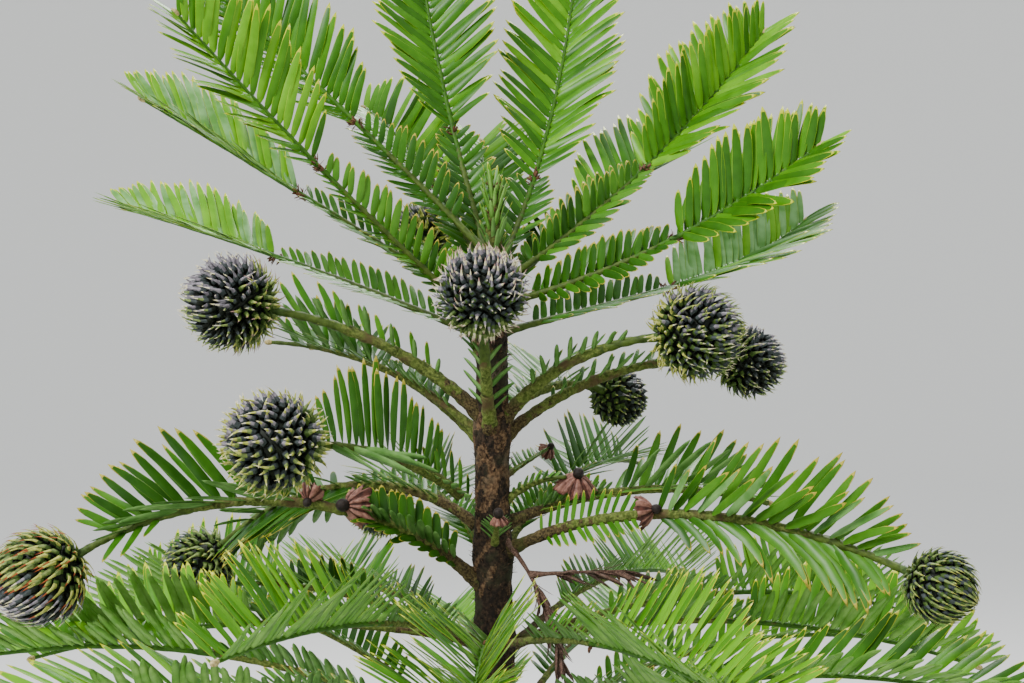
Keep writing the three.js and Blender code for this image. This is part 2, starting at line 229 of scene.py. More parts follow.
def flakes(root, way, up, length, width, curl, look):
    # Short papery blades with one material each: a spindle of three-sided section in four steps,
    # bent by curl as the square of its length.
    across = unit(np.cross(up, way))
    top = np.cross(way, across)
    t = np.array(flakeShape["steps"])[None, :, None]
    half = np.array(flakeShape["widths"])[None, :, None] * width[:, None, None] / 2
    bend = t * t * curl[:, None, None] * top[:, None]
    middle = root[:, None] + length[:, None, None] * (t * way[:, None] + bend)
    wide = across[:, None] * half
    high = top[:, None] * half * flakeShape["thickness"]
    ring = np.stack([middle + wide, middle + high, middle - wide], 2)
    points, quads, tris = spines(ring, middle)
    look = np.broadcast_to(look, len(root))
    return points, quads, np.repeat(look, 6), tris, np.repeat(look, 4)


def ballPart(centre, axis, radius, stretch, rings, sides, look=0):
    # a ball drawn out along its axis: rings of radius sin(a) at height cos(a)
    side, other = squareTo(axis)
    pole = 0.06  # in radians, left open round each end for the closing fan
    lift = np.linspace(math.pi - pole, pole, rings)[:, None]
    turn = roundAngles(sides)
    place = side * (np.sin(lift) * np.cos(turn))[..., None]
    place = place + other * (np.sin(lift) * np.sin(turn))[..., None]
    place = place + axis * (stretch * np.cos(lift) * np.ones_like(turn))[..., None]
    return skin(centre + place * radius, look)


# Materials

def newMaterial(name, roughness, **sockets):
    material = bpy.data.materials.new(name)
    material.use_nodes = True
    tree = material.node_tree
    shader = tree.nodes["Principled BSDF"]
    shader.inputs["Roughness"].default_value = roughness
    for socket, value in sockets.items():
        shader.inputs[socket.replace("_", " ")].default_value = value
    return material, tree, shader


def addNode(tree, kind, links=(), **settings):
    # links are (this node's socket, another node's output); settings are sockets or properties
    node = tree.nodes.new(kind)
    for key, value in settings.items():
        if hasattr(node, key):
            setattr(node, key, value)
    for key, value in settings.items():
        if not hasattr(node, key):
            node.inputs[key.replace("_", " ")].default_value = value
    for socket, output in links:
        tree.links.new(output, node.inputs[socket])
    return node


def mixColours(tree, factor, first, second):
    # two colours, or colour outputs, mixed by an output that runs from 0 to 1
    mix = addNode(tree, "ShaderNodeMix", data_type="RGBA")
    tree.links.new(factor, mix.inputs[0])
    for index, given in ((6, first), (7, second)):
        if isinstance(given, str):
            mix.inputs[index].default_value = colour(given)
        else:
            tree.links.new(given, mix.inputs[index])
    return mix.outputs[2]


def blotches(tree, size, detail=4, low=0.35, high=0.65):
    # a noise whose patches are about size millimetres across, pushed towards 0 and 1
    place = addNode(tree, "ShaderNodeTexCoord")
    noise = addNode(tree, "ShaderNodeTexNoise", [("Vector", place.outputs["Object"])],
                    Scale=1 / (2 * size * metre), Detail=detail, Roughness=0.6)
    spread = addNode(tree, "ShaderNodeMapRange", [("Value", noise.outputs["Fac"])],
                     From_Min=low, From_Max=high)
    return spread.outputs["Result"]


def addBump(tree, shader, height, depth, strength=0.6):
    node = addNode(tree, "ShaderNodeBump", [("Height", height)], Distance=depth * metre, Strength=strength)
    tree.links.new(node.outputs["Normal"], shader.inputs["Normal"])


def leafMaterial(name, base, lighter, roughness=0.34):
    # Living needle: a smooth waxy skin over green flesh, with faint light patches and a soft gloss.
    material, tree, shader = newMaterial(name, roughness, Specular_IOR_Level=0.2)
    patches = blotches(tree, 9, detail=2)
    tree.links.new(mixColours(tree, patches, base, lighter), shader.inputs["Base Color"])
    return material


def barkMaterial(name, deep, mid, light, lichen, size=5, depth=0.7):
    # Dry outer bark: corky, flaking and quite matt, in three tones with thin lichen over them.
    material, tree, shader = newMaterial(name, 0.92, Specular_IOR_Level=0.25)
    coarse = blotches(tree, size, detail=6)
    fine = blotches(tree, size * 0.3, detail=5, low=0.42, high=0.68)
    crust = blotches(tree, size * 3.2, detail=7, low=0.53, high=0.66)
    wood = mixColours(tree, coarse, deep, mid)
    wood = mixColours(tree, fine, wood, light)
    wood = mixColours(tree, crust, wood, lichen)
    tree.links.new(wood, shader.inputs["Base Color"])
    addBump(tree, shader, fine, depth)
    return material


def stemMaterial(name, deep, light, size=3, roughness=0.6):
    # Green shoot or scale: living skin with a dull gloss, mottled and slightly rough.
    material, tree, shader = newMaterial(name, roughness, Specular_IOR_Level=0.22)
    grain = blotches(tree, size, detail=4)
    tree.links.new(mixColours(tree, grain, deep, light), shader.inputs["Base Color"])
    addBump(tree, shader, grain, 0.3)
    return material


needleColours = {
    "youngDeep": ("#285802", "#336805"),
    "youngMid": ("#397002", "#478108"),
    "youngLight": ("#528c06", "#659f12"),
    # paler, bluer green: painted sheen of the sky on young needles' upper faces
    "youngPale": ("#4f8334", "#76a365"),
    # the margin is partly the needle's own yellow-green rim and partly a painted highlight along its edge
    "youngMargin": ("#78a00e", "#90b024"),
    "youngTip": ("#a3ad10", "#b9c022"),
    "youngUnder": ("#568a2a", "#78a34c"),
    "oldDeep": ("#1f4a04", "#2a570a"),
    "oldMid": ("#2b5c06", "#386b10"),
    "oldLight": ("#3c7110", "#4b7e1c"),
    # paler, bluer green: painted sheen of the sky on old needles' upper faces
    "oldPale": ("#4c7c34", "#719c58"),
    # partly the old needle's own rim colour and partly a painted highlight along its edge
    "oldMargin": ("#58801c", "#6e902c"),
    "oldTip": ("#97902a", "#ada03a"),
    "oldUnder": ("#46702c", "#688f4a"),
}
needleMaterials = [leafMaterial(name + "Needle", *pair) for name, pair in needleColours.items()]
for material in needleMaterials:
    if "Under" in material.name:
        # the lower side is bloomed with wax, and duller
        material.node_tree.nodes["Principled BSDF"].inputs["Roughness"].default_value = 0.6
lookIndex = {name: i for i, name in enumerate(needleColours)}

trunkLooks = [
    barkMaterial("flakingBark", "#090704", "#1b140d", "#403123", "#313120"),
    barkMaterial("tanBark", "#1e140c", "#422f1e", "#775d42", "#4d4536"),
    barkMaterial("oliveBark", "#23280b", "#414818", "#666b30", "#6d7044", size=4),
]
boughLooks = [
    barkMaterial("mossyBark", "#1b150c", "#3d321c", "#675a36", "#474f24", size=3),
    barkMaterial("oliveBough", "#2e3a11", "#4c5b20", "#727d3c", "#51432a", size=4, depth=0.4),
    stemMaterial("oliveStem", "#2f400f", "#4e6120"),
    stemMaterial("greenStem", "#244a04", "#3a660a"),
]
budScaleLook = barkMaterial("paperyScale", "#2c1a12", "#5c3a28", "#8f6548", "#6e5a48", size=1.5, depth=0.2)
budTipLook = stemMaterial("paleBud", "#7c6a3a", "#c3b37e", size=1)
petalLook = stemMaterial("driedPetal", "#2c1611", "#5a342a", size=2, roughness=0.5)
petalEdgeLook = stemMaterial("palePetal", "#5c382e", "#94695a", size=2, roughness=0.5)
charLook = stemMaterial("driedCore", "#120d0b", "#2b211c", size=1)
deadLook = barkMaterial("deadTwigBark", "#2c1d17", "#513a30", "#7c6152", "#66564b", size=2, depth=0.3)


# The tree's sizes

trunk = {
    "profile": [[0, 22.5], [680, 16.4], [870, 14.2], [960, 13], [1010, 10], [1050, 7], [1092, 3]],
    "flareRadius": 13, "flareHeight": 34, "lobes": 5, "lobeDepth": 0.3,
    "swellingRadius": 2.4, "swellingHeight": 17,
    "swayReach": 3, "swayFrom": 650, "swayHalfWave": 500,
}


def growth(first, last, longest, spacing, width, **more):
    # A row of needles on a stretch of a limb: its shares of the length, its longest needle, the space
    # between needles and their width. age is old or young, ranks the rows on each side, and only the
    # one side that bears, or 0 for both. peak is the share of the stretch that the longest is at.
    # stand, sweep and tilt turn the needles out of the limb's plane, away from the limb and about
    # their own length. bow curves them, slim narrows them, loose sets how unevenly they stand, blunt
    # rounds their ends, and pale gives them paler, bluer greens, a painted sheen of the sky on their faces.
    plain = {"age": "old", "ranks": 1, "peak": 0.44, "only": 0, "stand": None, "sweep": None, "tilt": 0,
             "bow": 0, "slim": 1, "loose": 1, "blunt": False, "pale": False}
    given = {"from": first, "to": last, "longest": longest, "spacing": spacing, "width": width}
    return {**given, **plain, **more}


def crownGrowth(scar, facing, spacing, turned):
    # Old short needles up to the scar and young long ones past it, in a far and a near row. turned
    # holds how each row is turned: far, near, and oldFar and oldNear where the old needles differ.
    rows = []
    for hand, key in ((-facing, "far"), (facing, "near")):
        young = turned.get(key, {})
        old = turned.get("old" + key.capitalize(), young)
        rows.append(growth(0.12, scar - 0.02, 35, 8.4, 7.2, only=hand, **old))
        rows.append(growth(scar + 0.01, 1, 74, spacing, 8.5, age="young", only=hand, **young))
    return rows


coneShort = [growth(0.3, 0.88, 28, 12, 4.8)]
coneSparse = [
    growth(0.3, 0.94, 56, 15, 6.8, peak=0.85, only=1),
    growth(0.3, 0.9, 30, 21, 5, peak=0.6, only=-1),
]
coneLong = [growth(0.16, 0.4, 30, 8, 5.6, ranks=2), growth(0.44, 0.9, 80, 14, 8, ranks=2)]
coneMiddle = [growth(0.22, 0.5, 30, 9, 5.6), growth(0.54, 0.9, 74, 13, 8, ranks=2)]
# two upright rows behind the limb; in front, needles that lean over it and a few that hang at its end
leftLong = [
    growth(0.12, 0.42, 38, 8, 8, ranks=2, blunt=True),
    growth(0.44, 0.92, 80, 14, 8.4, only=1, stand=62, loose=1.6),
    growth(0.43, 0.93, 80, 14, 7, only=1, stand=28, tilt=40, loose=1.8),
    growth(0.44, 0.92, 66, 14, 7.6, only=-1, stand=52, sweep=28, tilt=40, loose=1.8, pale=True),
    growth(0.82, 0.93, 52, 15, 7.4, only=-1, stand=10, peak=0.6),
]
# past the short ones, long needles that hang under the limb and lean along it
leftLow = [
    growth(0.22, 0.5, 30, 9, 5.6),
    growth(0.46, 0.92, 80, 8, 8.4, stand=-32, sweep=46, loose=1.6),
    growth(0.54, 0.9, 60, 13, 8, stand=20),
]
# an upright fence of needles behind the limb, and long ones in front that lean back to the trunk
leftFront = [
    growth(0.2, 0.5, 30, 9, 5.6),
    growth(0.4, 0.95, 74, 6.6, 8.4, only=1, stand=40, sweep=80, peak=0.62, blunt=True),
    growth(0.62, 0.98, 80, 11, 9.6, only=-1, sweep=112, tilt=-52, peak=0.75, loose=2.6, pale=True),
]
# a flat far row, a tilted nearer one, and long ones that curve down in front
rightLong = [
    growth(0.14, 0.4, 27, 7.5, 4.4),
    growth(0.43, 0.93, 80, 12.5, 7.6, only=-1, stand=24, loose=1.8),
    growth(0.42, 0.95, 78, 12, 7.6, only=-1, stand=56, sweep=50, tilt=-40, loose=2.2, pale=True),
    growth(0.42, 0.9, 80, 12, 8.6, only=1, stand=4, sweep=42, bow=0.36, peak=0.6, loose=1.4),
]
backGrowth = [growth(0.3, 0.58, 36, 9, 6.4), growth(0.6, 1, 62, 9, 7.6, age="young")]
stubGrowth = [growth(0.3, 0.92, 16, 5.5, 3.6)]
# the first lower whorl's young needles stand squarer to their limbs than those of the rest
lowerOld = growth(0.22, 0.5, 38, 9, 6.8)
firstGrowth = [lowerOld, growth(0.5, 1, 74, 8, 8, age="young", sweep=82)]
lowerGrowth = [lowerOld, growth(0.5, 1, 74, 9, 8, age="young")]


def limb(name, height, bearing, length, rise, base, tip, rows, roll=0, raised=30, bend=1, cone=0, boughTo=0):
    # Where it leaves the trunk, its bearing and length, its rise at the trunk and at the tip, its
    # radius at both, and its rows of needles. roll turns its plane of needles, raised lifts them out
    # of it, and bend is how late it curves. cone is its seed cone's radius, and boughTo the share of
    # its length that its own solid takes.
    return {
        "name": name, "height": height, "bearing": bearing, "length": length, "rise": rise, "base": base,
        "tip": tip, "growth": rows, "roll": roll, "raise": raised, "bend": bend, "cone": cone,
        "boughTo": boughTo, "start": None,
    }


crownRadii = 3.8, 1.8


def crownFrond(number, height, bearing, length, rise, roll, scar, raised=24, bend=1, spacing=7.7, **turned):
    # the side nearer to the front is the right one on a bough that leads right, and the left on others
    facing = 1 if math.cos(math.radians(bearing)) > 0 else -1
    frond = limb(f"crown_frond_{number}", height, bearing, length, rise, *crownRadii,
                 crownGrowth(scar, facing, spacing, turned), roll, raised, bend)
    frond["scar"] = scar
    return frond


splayed = {"sweep": 60, "tilt": -24}
hugging = {"stand": 18, "sweep": 54}
slender = {"sweep": 50, "slim": 0.88}
# hanging and the far rows here are pale: painted sheen of the sky on their needles' faces
hanging = {"stand": 4, "sweep": 54, "slim": 0.8, "pale": True}
paleFar = {"far": {**slender, "pale": True}, "oldFar": slender, "near": hugging, "oldNear": hanging}
crown = [
    crownFrond(1, 1018, 118, 360, [56, 72], -12, 0.42, spacing=7.8),
    crownFrond(2, 1012, 68, 372, [38, 73], 12, 0.36, spacing=7.8),
    crownFrond(3, 1005, 20, 350, [32, 52], 45, 0.5, 32, far={"ranks": 2}, near=splayed),
    crownFrond(4, 990, -22, 308, [12, 36], 48, 0.55, 32, far={"ranks": 2},
               near={"stand": 17, "sweep": 55, "tilt": -26}),
    crownFrond(5, 966, 28, 350, [13, 38], 20, 0.52, 32, 4, 6.6, far={"pale": True}, oldFar={},
               near={"stand": 22, "sweep": 52, "tilt": -24}),
    crownFrond(6, 968, -160, 368, [40, 47], -66, 0.55, near={"sweep": 50, "tilt": 32}),
    crownFrond(7, 1030, 166, 372, [45, 42], -58, 0.45, 28, near={"sweep": 50, "tilt": 16}),
    crownFrond(8, 980, 178, 352, [34, 30], -14, 0.55, 36, spacing=5.2, **paleFar),
    crownFrond(9, 960, 158, 388, [22, 15], -8, 0.57, 38, spacing=5.2, **paleFar),
    crownFrond(10, 992, 130, 268, [62, 27], -20, 0.5),
    crownFrond(11, 980, 94, 250, [52, 34], 0, 0.5),
    crownFrond(12, 986, 38, 268, [46, 22], 15, 0.5, 32),
]
upper = {"boughTo": 0.5}
middle = {"tip": 3.6, "boughTo": 0.4}
direct = {"tip": 2}
whorled = [
    limb("front_cone", 874, -97, 104, [48, 72], 7, 5, coneShort, raised=36, cone=42, **upper),
    limb("left_cone", 888, -170, 206, [47, 10], 7.2, 4, coneSparse, raised=52, cone=45, **upper),
    limb("right_cone", 880, -18, 166, [56, 6], 7.2, 4, coneShort, raised=36, cone=43, **upper),
    limb("right_far_cone", 870, 10, 216, [44, -3], 6, 4, coneShort, raised=36, cone=34, **upper),
    limb("right_back_cone", 886, 46, 150, [40, -16], 5.4, 4, coneShort, raised=36, cone=28, **upper),
    limb("left_long", 744, -166, 368, [46, -30], 6.8, rows=leftLong, roll=-30, cone=42, **middle),
    limb("left_front", 788, -137, 216, [80, 4], 6.8, rows=leftFront, roll=-45, raised=35, bend=0.42, cone=45,
         **middle),
    limb("left_low", 785, 160, 288, [64, -40], 5.8, rows=leftLow, bend=0.6, cone=36, **middle),
    limb("right_long", 774, -26, 365, [36, -22], 6, rows=rightLong, roll=68, raised=26, bend=0.7, cone=31,
         **middle),
    limb("right_back", 800, 14, 256, [24, -16], 5.4, rows=coneLong, roll=10, **middle),
    limb("left_back", 870, 166, 225, [46, 2], 5, rows=coneMiddle, **direct),
    limb("back_cone", 896, 112, 220, [62, 26], 4.6, rows=backGrowth, cone=34, **direct),
    limb("back_left", 862, 138, 250, [40, 4], 4.6, rows=backGrowth, **direct),
    limb("back_right", 856, 76, 250, [34, 2], 4.6, rows=backGrowth, **direct),
    limb("back_low_cone", 756, 112, 300, [40, -20], 5, rows=coneLong, cone=36, **direct),
    limb("back_low", 768, 62, 320, [36, -10], 4.6, rows=coneLong, **direct),
    limb("right_stub", 812, -8, 74, [54, 2], 4, rows=stubGrowth, cone=15, **direct),
    limb("right_back_stub", 838, 50, 78, [22, 18], 3, rows=stubGrowth, cone=8, **direct),
    limb("front_stub", 772, -84, 62, [56, 30], 4, rows=stubGrowth, **direct),
]


def evenForks(turn, spread, *rise):
    # a fork is its bearing, the spread between its boughs and their rise at either end
    return [[turn + third, spread, *rise] for third in (0, 120, 240)]


lower = {
    "whorls": [
        {"height": 697, "length": 405, "forks": [*evenForks(30, 30, 15, -17)[:2], [270, 21, 17, -8]]},
        {"height": 604, "length": 435, "forks": evenForks(64, 38, 32, -12)},
        {"height": 508, "length": 445, "forks": evenForks(92, 38, 30, -16)},
        {"height": 412, "length": 440, "forks": evenForks(34, 38, 28, -20)},
        {"height": 316, "length": 425, "forks": evenForks(58, 38, 24, -24)},
        {"height": 224, "length": 390, "forks": evenForks(80, 38, 20, -26)},
    ],
    "jitter": {"bearing": 4, "length": 0.08, "rise": 4, "roll": 12},
    "stemRadius": 6.4, "stemReach": 16, "stemTaper": 0.85, "forkAt": 0.72,
    "base": 4.4, "tip": 1.8, "raise": [50, 34, 34, 34, 34, 34],
}
# each dried cone is the limb that bears it, the share of its length, its size, the way it faces and
# its ball's size as a share of its own
driedCones = [
    ("right_stub", 1, 16, [0.15, -0.5, 0.85], 0.3), ("right_back_stub", 1, 8, [0.5, -0.6, 0.6], 0.4),
    ("right_long", 0.42, 12, [0.9, -0.3, 0.2], 0.35), ("left_long", 0.4, 16, [-0.75, -0.6, 0.1], 0.35),
    ("left_long", 0.49, 11, [-0.2, -0.6, -0.7], 0.35), ("front_stub", 1, 7, [-0.1, -0.4, 0.9], 0.62),
]
swellingHeights = sorted({780, 884, *(whorl["height"] + 12 for whorl in lower["whorls"])})


# The trunk's line and the limbs' lines

trunkTop = trunk["profile"][-1][0]


def trunkAxis(height):
    height = np.asarray(height, float)
    rooted = np.minimum(height / 300, 1)
    sway = -trunk["swayReach"] * rooted
    sway = sway * np.sin(math.pi * (height - trunk["swayFrom"]) / trunk["swayHalfWave"])
    return np.stack([sway, np.zeros_like(height), height], -1)


def trunkRadius(height):
    # the plain taper, swollen like a bell curve at each whorl
    levels, radii = np.array(trunk["profile"], float).T
    radius = np.interp(height, levels, radii)
    for level in swellingHeights:
        bell = np.exp(-(((height - level) / trunk["swellingHeight"]) ** 2))
        radius = radius + trunk["swellingRadius"] * bell
    return radius


limbSteps = 96


def layOut(spec):
    # A limb keeps to one bearing. Its slope goes from rise[0] to rise[1] as the share of its length
    # to the power of bend, and its line is the sum of short steps at the slope of their middles.
    share = np.linspace(0, 1, limbSteps + 1)
    bearing, roll = math.radians(spec["bearing"]), math.radians(spec["roll"])
    out = np.array([math.cos(bearing), math.sin(bearing), 0])
    right = np.array([math.sin(bearing), -math.cos(bearing), 0])
    first, last = spec["rise"]

    def heading(at):
        slope = np.radians(first + (last - first) * at ** spec["bend"])[:, None]
        return towards(out, upright, slope)

    steps = heading((share[1:] + share[:-1]) / 2) * spec["length"] / limbSteps
    start = trunkAxis(spec["height"]) if spec["start"] is None else spec["start"]
    point = start + np.concatenate([np.zeros((1, 3)), np.cumsum(steps, 0)])
    along = heading(share)
    level = np.cross(right, along)
    spec["share"] = share
    spec["point"] = point
    spec["along"] = along
    spec["up"] = towards(level, right, roll)
    spec["side"] = towards(right, -level, roll)
    return spec


def frameAt(spec, share):
    share = np.asarray(share, float)
    found = []
    for key in ("point", "along", "up", "side"):
        columns = [np.interp(share, spec["share"], spec[key][:, i]) for i in range(3)]
        found.append(np.stack(columns, -1))
    return found[0], unit(found[1]), unit(found[2]), unit(found[3])


def radiusAt(spec, share):
    return spec["base"] + (spec["tip"] - spec["base"]) * np.clip(share, 0, 1)


def makeForks():
    # every bough of the lower whorls, varied by the same numbers as its solid
    boughs, stems = [], []
    jitter = lower["jitter"]
    for tier, whorl in enumerate(lower["whorls"]):
        for fork, (facing, spread, *slopes) in enumerate(whorl["forks"]):
            numbers = evenRandom(101 + 17 * tier + 5 * fork)

            def wobble(most):
                return most * (2 * next(numbers) - 1)

            reach = float(trunkRadius(whorl["height"])) + lower["stemReach"]
            stemTip = lower["stemRadius"] * lower["stemTaper"]
            stem = limb(f"lower_{tier + 1}_{fork + 1}", whorl["height"], facing, reach,
                        [slopes[0], slopes[0]], lower["stemRadius"], stemTip, [])
            stems.append(layOut(stem))
            start = frameAt(stem, lower["forkAt"])[0]
            for aside in (-spread, 0, spread):
                bearing = facing + aside + wobble(jitter["bearing"])
                length = whorl["length"] * (1 + wobble(jitter["length"]))
                rise = [slope + wobble(jitter["rise"]) for slope in slopes]
                roll = wobble(jitter["roll"])
                bough = limb(stem["name"], whorl["height"], bearing, length, rise, lower["base"],
                             lower["tip"], lowerGrowth if tier else firstGrowth, roll,
                             lower["raise"][tier])
                bough["start"] = start
                bough["tier"] = tier
                boughs.append(layOut(bough))
    return boughs, stems


for spec in [*crown, *whorled]:
    layOut(spec)
lowerBoughs, forkStems = makeForks()
allLimbs = [*crown, *whorled, *lowerBoughs]
for number, spec in enumerate(allLimbs):
    spec["number"] = number
seedConeLimbs = [spec for spec in whorled if spec["cone"] > 20]  # the smaller cones are dried ones
byName = {spec["name"]: spec for spec in whorled}
print("limbs", len(allLimbs))


coneSeat = 0.9  # a seed cone's middle is this share of its radius past its limb's end


def coneCentre(spec):
    return spec["point"][-1] + spec["along"][-1] * spec["cone"] * coneSeat


def driedPlace(name, share, radius):
    # a dried cone sits on the upper front of its limb, or past its end
    point, along, *_ = frameAt(byName[name], share)
    lift = unit(np.array([0, -0.8, 0.6])) if share < 1 else along
    return point + lift * radius * 0.6


# What the needles keep clear of: each limb, the trunk and the cones, as round-ended rods

clearance = {
    "limbStep": 6, "trunkStep": 40.0,  # a rod's length, in steps of its limb and in height
    "coneShare": 0.9,  # a cone's rod against its whole radius
    "gap": 1.5, "reach": 90,  # how near a needle comes, and how far off a rod can matter
    "shares": [0.3, 0.55, 0.75, 0.9, 1],  # where each needle is tested
    "cutBack": 0.3, "shortest": 0.3,  # how far short of a touch it ends, and the least that is kept
}


def obstacles():
    starts, ends, radii, owners = [], [], [], []
    picked = np.arange(0, limbSteps + 1, clearance["limbStep"])
    for spec in allLimbs:
        starts.append(spec["point"][picked[:-1]])
        ends.append(spec["point"][picked[1:]])
        radii.append(radiusAt(spec, spec["share"][picked[:-1]]))
        owners.append(np.full(len(picked) - 1, spec["number"]))
    balls = [(coneCentre(spec), spec["cone"]) for spec in allLimbs if spec["cone"]]
    balls += [(driedPlace(name, share, radius), radius) for name, share, radius, *_ in driedCones]
    for centre, radius in balls:
        starts.append(centre[None])
        ends.append(centre[None])
        radii.append([radius * clearance["coneShare"]])
        owners.append([-2])
    levels = np.arange(0, trunkTop, clearance["trunkStep"])
    starts.append(trunkAxis(levels[:-1]))
    ends.append(trunkAxis(levels[1:]))
    radii.append(trunkRadius(levels[:-1]))
    owners.append(np.full(len(levels) - 1, -1))
    return [np.concatenate(rows) for rows in (starts, ends, radii, owners)]


rodStart, rodEnd, rodRadius, rodOwner = obstacles()


def freeShare(spec, root, tipVector):
    # How much of each needle is clear of every other limb: 1, a shorter share, or 0. The distance
    # from a point to a rod is measured to the nearest point of its middle line.
    others = rodOwner != spec["number"]
    low = np.minimum(spec["point"].min(0), (root + tipVector).min(0)) - clearance["reach"]
    high = np.maximum(spec["point"].max(0), (root + tipVector).max(0)) + clearance["reach"]
    others &= np.all(rodEnd > low, 1) & np.all(rodEnd < high, 1)
    first, line, radius = rodStart[others], (rodEnd - rodStart)[others], rodRadius[others]
    square = np.maximum((line ** 2).sum(1), 1e-9)
    free = np.ones(len(root))
    for share in clearance["shares"]:
        place = root + tipVector * share
        offset = place[:, None] - first[None]
        along = np.clip((offset * line[None]).sum(2) / square, 0, 1)
        gap = np.linalg.norm(offset - along[..., None] * line[None], axis=2) - radius
        blocked = (gap.min(1) < clearance["gap"]) & (free == 1)
        free[blocked] = max(0, share - clearance["cutBack"])
    free[free < clearance["shortest"]] = 0
    return free


# Needles

needle = {
    "sweep": 62, "sweepAtTip": 40,  # between a needle and its limb
    "endShare": 0.5,  # a stretch's end needles against its longest
    "steps": [0, 0.06, 0.2, 0.5, 0.78, 0.92, 1],
    "bluntWidths": [0.42, 0.72, 0.98, 1, 0.9, 0.62, 0],
    "pointedWidths": [0.45, 0.8, 1, 0.97, 0.8, 0.5, 0],
    "margins": [0.16, 0.19, 0.22, 0.26, 0.42, 0.8, 0],
    "channel": 0.06, "depth": 0.16, "rootAt": 0.6,  # it starts at this share of the limb's radius
    "bows": [-0.1, 0.12], "arches": [-0.04, 0.14], "twists": [0.2, 0.7],  # twists are in radians
    "upperRank": 26, "lowerRank": -16,  # where there are two rows a side, against the plain raise
    "upperLength": 0.86, "lengths": [0.9, 1.04], "widths": [0.9, 1.06],  # shares of the plain sizes
    "endWidth": 0.78, "swellWidth": 0.22,  # a stretch's end needles are narrower too
    "stagger": 0.24, "scatter": 0.05,  # of the places on either side, as shares of a space
    "unevenSweep": 2.5, "unevenStand": 3, "unevenTilt": 8,  # in degrees
    "needleTone": 0.55, "sprayTone": 0.45, "tipTone": 0.18,  # what a needle's tone is made up of
    "toneSteps": [0.4, 0.62],  # where deep turns to mid, and mid to light
}
needleSection = [0, 1, 2, 0, 3, 3]  # a blade's faces across: margin, upper halves, margin, lower side


def needleRows(spec):
    # Rows of needles on either side of each stretch, the two sides about half a space apart. They
    # are longest at its peak and lean further forward towards its end. A raised row is turned about
    # the limb as a whole, so each side's needles lie in one plane.
    random = np.random.default_rng(500 + spec["number"])
    rows = []
    for stretch in spec["growth"]:
        reach = spec["length"] * (stretch["to"] - stretch["from"])
        ranks = stretch["ranks"]
        count = max(3, round(reach / stretch["spacing"])) * ranks
        for hand in [stretch["only"]] if stretch["only"] else [1, -1]:
            slot = (np.arange(count) + 0.5 + needle["stagger"] * hand) / count
            slot = np.clip(slot + random.normal(0, needle["scatter"], count) / count, 0.005, 0.995)
            share = stretch["from"] + (stretch["to"] - stretch["from"]) * slot
            point, along, up, side = frameAt(spec, share)
            swell = np.sin(math.pi * slot ** (math.log(0.5) / math.log(stretch["peak"])))
            length = stretch["longest"] * (needle["endShare"] + (1 - needle["endShare"]) * swell)
            length = length * random.uniform(*needle["lengths"], count)
            late = slot ** 2.2 if stretch["to"] > 0.95 else 0.5 * slot ** 2
            first = stretch["sweep"] or needle["sweep"]
            sweep = first + (needle["sweepAtTip"] - needle["sweep"]) * late
            sweep = sweep + random.normal(0, needle["unevenSweep"] * stretch["loose"], count)
            sweep = np.radians(sweep)[:, None]
            stand = stretch["stand"] or spec["raise"]
            stand = stand + random.normal(0, needle["unevenStand"] * stretch["loose"], count)
            if ranks == 2:
                isUpper = np.arange(count) % 2 == 1
                stand = stand + np.where(isUpper, needle["upperRank"], needle["lowerRank"])
                length = length * np.where(isUpper, needle["upperLength"], 1)
            stand = np.radians(stand)[:, None]
            outward = towards(side * hand, up, stand)
            face = towards(up, -side * hand, stand)
            way = towards(along, outward, sweep)
            girth = radiusAt(spec, share)[:, None]
            root = point + unit(outward) * girth * needle["rootAt"]
            tilt = stretch["tilt"] + random.normal(0, needle["unevenTilt"] * stretch["loose"], count)
            tilt = np.radians(tilt)[:, None]
            width = stretch["width"] * stretch["slim"] * (needle["endWidth"] + needle["swellWidth"] * swell)
            rows.append({
                "root": root, "way": unit(way), "up": towards(face, along, tilt),
                "length": length, "width": width * random.uniform(*needle["widths"], count),
                "hand": np.full(count, hand), "slot": slot,
                "young": np.full(count, stretch["age"] == "young"),
                "blunt": np.full(count, stretch["blunt"]),
                "pale": np.full(count, stretch["pale"]),
                "bow": hand * (stretch["bow"] + random.uniform(*needle["bows"], count)),
                "shade": random.random(count),
            })
    joined = stacked(rows)
    free = freeShare(spec, joined["root"], joined["way"] * joined["length"][:, None])
    joined["length"] = joined["length"] * free
    kept = free > 0
    return {key: value[kept] for key, value in joined.items()}


